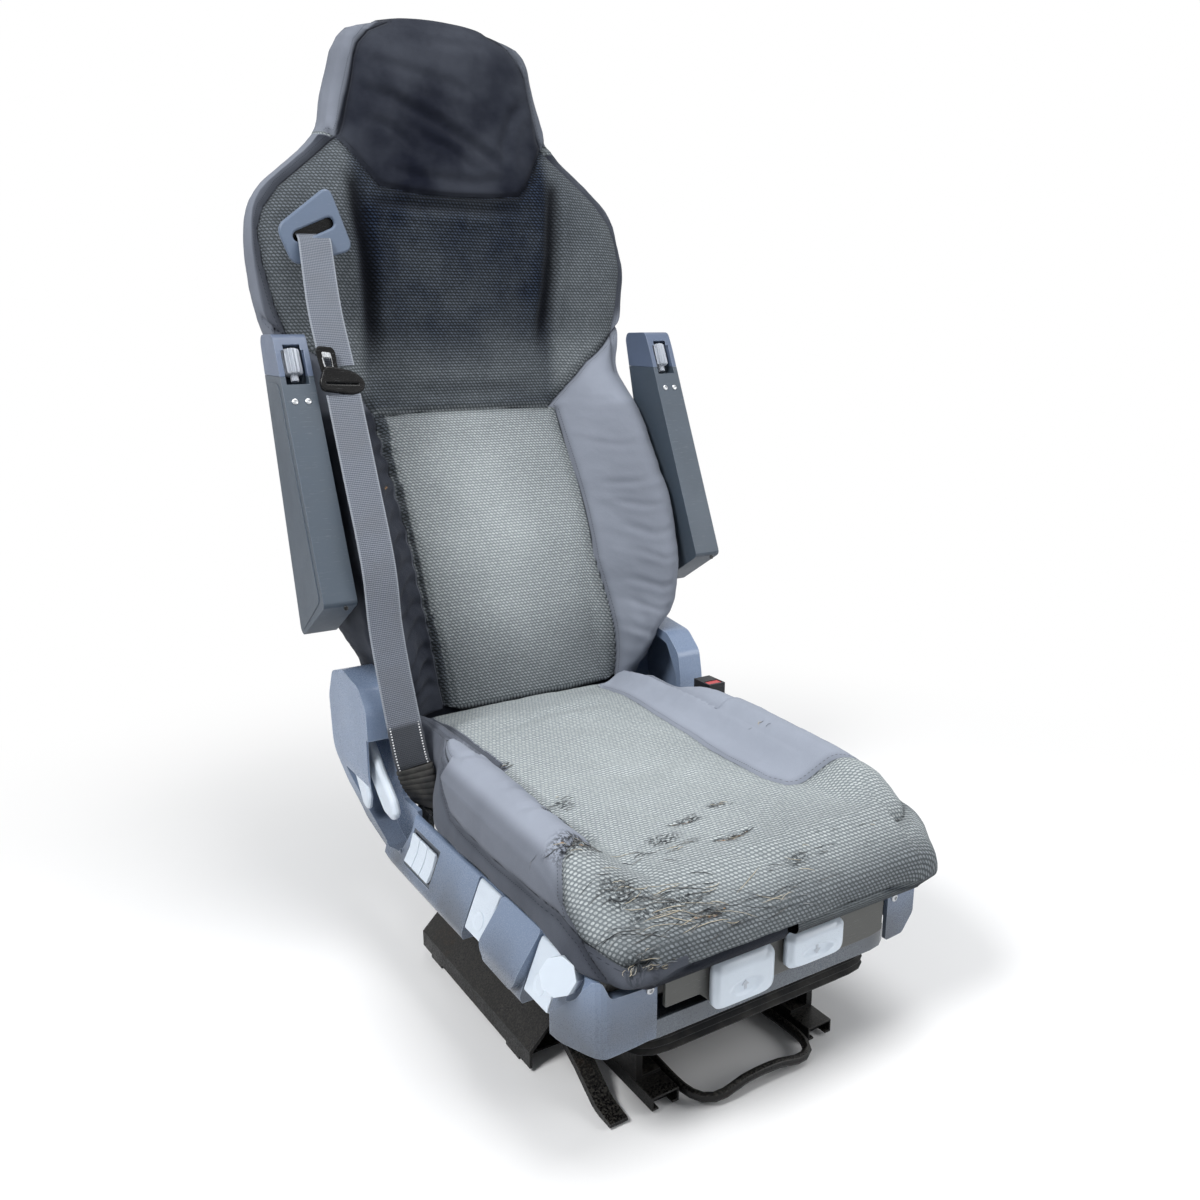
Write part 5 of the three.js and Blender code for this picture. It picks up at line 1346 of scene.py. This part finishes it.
# --- flap handles
def add_flap(side, arrow_up):
    """A moulded pull flap: curved back at its top, with a thumb dimple and an arrow."""
    node = "flap_handle_" + side
    low, high = box_of(node)
    middle, size = (low + high) / 2, high - low
    u, v = np.meshgrid(np.linspace(-1, 1, 49), np.linspace(-1, 1, 41))
    edge = np.maximum(np.abs(u), np.abs(v))
    reach = edge / (np.abs(u) ** 6 + np.abs(v) ** 6 + 1e-9) ** (1 / 6)
    x = middle[0] + u * reach * size[0] / 2
    z = middle[2] + v * reach * size[2] / 2
    oval = np.hypot(u / 0.56, (v + 0.28) / 0.36)
    dimple = 2.6 * smooth((1 - oval) / 0.35) - 0.7 * np.exp(-((oval - 1.05) / 0.12) ** 2)
    rolled = 5.0 * smooth((edge - 0.8) / 0.2) ** 1.5
    bent = 6.5 * smooth((v - 0.45) / 0.55) ** 1.6
    y = low[1] + 0.5 + dimple + rolled + bent
    front = np.stack([x, y, z], -1)
    back = front[:, ::-1] * (1, 0, 1) + (0, 1, 0) * np.full(front.shape, high[1] - 3.5)
    loops = np.concatenate([front, back], 1)
    rims = loops[[0, -1]].copy()
    rims[..., 1] = high[1] - 5
    shape = grid_object(node + "_moulded", np.concatenate([rims[:1], loops, rims[1:]]), pale_mat, close=True)
    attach(shape, body_of(node))
    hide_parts(node)
    tip = 1 if arrow_up else -1
    outline = [(0, 5.5 * tip), (4.5, 0.5 * tip), (1.4, 0.5 * tip), (1.4, -5 * tip), (-1.4, -5 * tip),
               (-1.4, 0.5 * tip), (-4.5, 0.5 * tip)]
    centre = (middle[0], low[1] + 2.9, middle[2] - 0.14 * size[2])
    arrow = plate(node + "_arrow", [outline], 1.2, 0.3, facing(centre, X, Z), soft_white_mat)
    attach(arrow, body_of(node))


soft_white_mat = plastic("relief_plastic", "b3bac4", 0.4, 1000, 0.0002, 0.05, "f4f7fa", 0.2)
add_flap("left", True)
add_flap("right", False)
for number, at in enumerate(((-180, -357.4, 207), (178, -357.4, 205))):
    add_screw("panel_screw_%d" % number, at, (0, -1, 0), "upper_frame", 4.6)


# --- back shell details
def shell_tree(node):
    """A CAD shell as something rays can be cast at."""
    mesh = nodes[node].data
    return BVHTree.FromPolygons([v.co for v in mesh.vertices], [p.vertices for p in mesh.polygons])


def on_shell(tree, x, z):
    """Where a line along -Y from behind meets the shell, and the shell's normal there, in millimetres."""
    at, normal, _, _ = tree.ray_cast(Vector((x * MM, 1.0, z * MM)), Vector((0, -1, 0)))
    return (None, None) if at is None else (np.array(at) / MM, np.array(normal))


def lying_on(tree, places, lift):
    """The points of a path of (x, z) places that lie on the shell, lifted off it a little."""
    hits = (on_shell(tree, x, z) for x, z in places)
    return np.array([at + normal * lift for at, normal in hits if at is not None])


def shell_line(tree, corners, radius, lift):
    """A closed moulded line round rounded corners, lying on the shell."""
    outline = rounded(corners, 34, 10)
    outline = np.vstack([outline, outline[:1]])
    dense = [np.linspace(a, b, 6, endpoint=False) for a, b in zip(outline, outline[1:])]
    return tube(lying_on(tree, np.concatenate(dense), lift), radius, 8)


def add_shell_details(node, panel, ribs, screws, rib_half=120, rib_radius=2.6):
    """The moulded panel line, the ribs and the pairs of screws on the rear of a back shell."""
    tree, body = shell_tree(node), body_of(node)
    line = joined(node + "_panel_line", [shell_line(tree, panel, 1.3, 0.2)], shell_mat)
    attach(line, body)
    across = np.linspace(-rib_half, rib_half, 40)
    bars = [tube(lying_on(tree, [(x, z) for x in across], 0.4), rib_radius, 8) for z in ribs]
    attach(joined(node + "_ribs", bars, shell_mat), body)
    for number, (x, z) in enumerate(screws):
        for sign in (-1, 1):
            at, normal = on_shell(tree, sign * x, z)
            side = "left" if sign < 0 else "right"
            add_screw("%s_screw_%d_%s" % (node, number, side), at, normal, body, 5.0)


add_shell_details("back_shell_lower", [(-170, 410), (-205, 700), (205, 700), (170, 410)],
                  (470, 490, 510, 530, 550), [(208, 668), (186, 440)])
add_shell_details("back_shell_upper", [(-215, 790), (-250, 960), (-120, 1160), (-105, 1250), (105, 1250),
                                       (120, 1160), (250, 960), (215, 790)],
                  (850, 870, 890, 910, 930), [(238, 800), (256, 1010), (124, 1262)])


# --- frayed threads on the seat
THREAD_FIELDS = [
    # x, y, spread in x, spread in y, how many, shortest and longest in mm
    (-150, -350, 60, 22, 46, 18, 60), (-211, -244, 30, 16, 34, 8, 22), (-60, -380, 70, 18, 34, 18, 55),
    (-100, -270, 50, 16, 20, 10, 34), (-18, -286, 26, 8, 16, 8, 26), (-112, -372, 26, 8, 14, 12, 34),
    (30, -345, 40, 12, 12, 8, 24), (-41, -227, 26, 6, 12, 6, 16), (14, -212, 20, 5, 8, 6, 14),
    (-140, -110, 12, 22, 14, 5, 12), (-149, 23, 8, 14, 8, 5, 10), (-186, -150, 14, 26, 14, 6, 14),
    (-215, -395, 18, 14, 26, 6, 18), (-190, -430, 16, 12, 24, 5, 14), (-195, -320, 22, 24, 30, 10, 30),
    (120, -330, 50, 20, 8, 6, 14), (200, -90, 20, 20, 5, 5, 9),
]


# millimetres between the rows of the seat's grid
ROW_PITCH = 3.1


def nearest_cell(x, y):
    """The row and column of the seat's grid nearest to a place on its top."""
    gap = np.where(seat_points[..., 2] > 250, np.hypot(seat_x - x, seat_y - y), 1e6)
    return np.unravel_index(np.argmin(gap), gap.shape)


def sample(grid, r, c):
    """A grid's values between its rows and columns."""
    r, c = np.clip(r, 0, grid.shape[0] - 1.001), np.clip(c, 0, grid.shape[1] - 1.001)
    i, j = r.astype(int), c.astype(int)
    a, b = (r - i)[:, None], (c - j)[:, None]
    return ((grid[i, j] * (1 - b) + grid[i, j + 1] * b) * (1 - a)
            + (grid[i + 1, j] * (1 - b) + grid[i + 1, j + 1] * b) * a)


def add_threads():
    """Loose threads that lie on the cover, mostly across the seat."""
    draw = np.random.default_rng(23)
    out = normals(seat_points)
    colours = {"dark": thread_mat, "grey": grey_thread_mat, "light": light_thread_mat}
    grids = {name: [] for name in colours}
    for cx, cy, sx, sy, count, short, long in THREAD_FIELDS:
        for _ in range(count):
            x, y = cx + draw.normal(0, 0.6) * sx, cy + draw.normal(0, 0.6) * sy
            row, column = nearest_cell(x, y)
            length, turn = draw.uniform(short, long), draw.normal(0.12, 0.22)
            t = np.linspace(-0.5, 0.5, max(5, int(length / 2.2)))
            bend = draw.uniform(-0.5, 0.5)
            beside = seat_points[row, min(column + 1, seat_points.shape[1] - 1)]
            cell = np.linalg.norm(seat_points[row, column] - beside)
            columns = column + t * length * math.cos(turn) / max(1.2, cell)
            arch = (0.25 - t * t) * 4
            rows = row + (t * length * math.sin(turn) + bend * 6 * arch) / ROW_PITCH
            lift = 0.15 + draw.uniform(0.1, 1.5) * arch + 0.25 * np.sin(t * 23 + x)
            path = sample(seat_points, rows, columns) + sample(out, rows, columns) * lift[:, None]
            kind = draw.choice(["dark", "dark", "dark", "grey", "light"])
            grids[str(kind)].append(tube(path, draw.uniform(0.22, 0.42)))
    for name, material in colours.items():
        obj = joined("frayed_threads_" + name, grids[name], material)
        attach(obj, "cushion_carrier")


grey_thread_mat = frayed("grey_thread", "6d7378")
light_thread_mat = frayed("light_thread", "b9b09c")
add_threads()
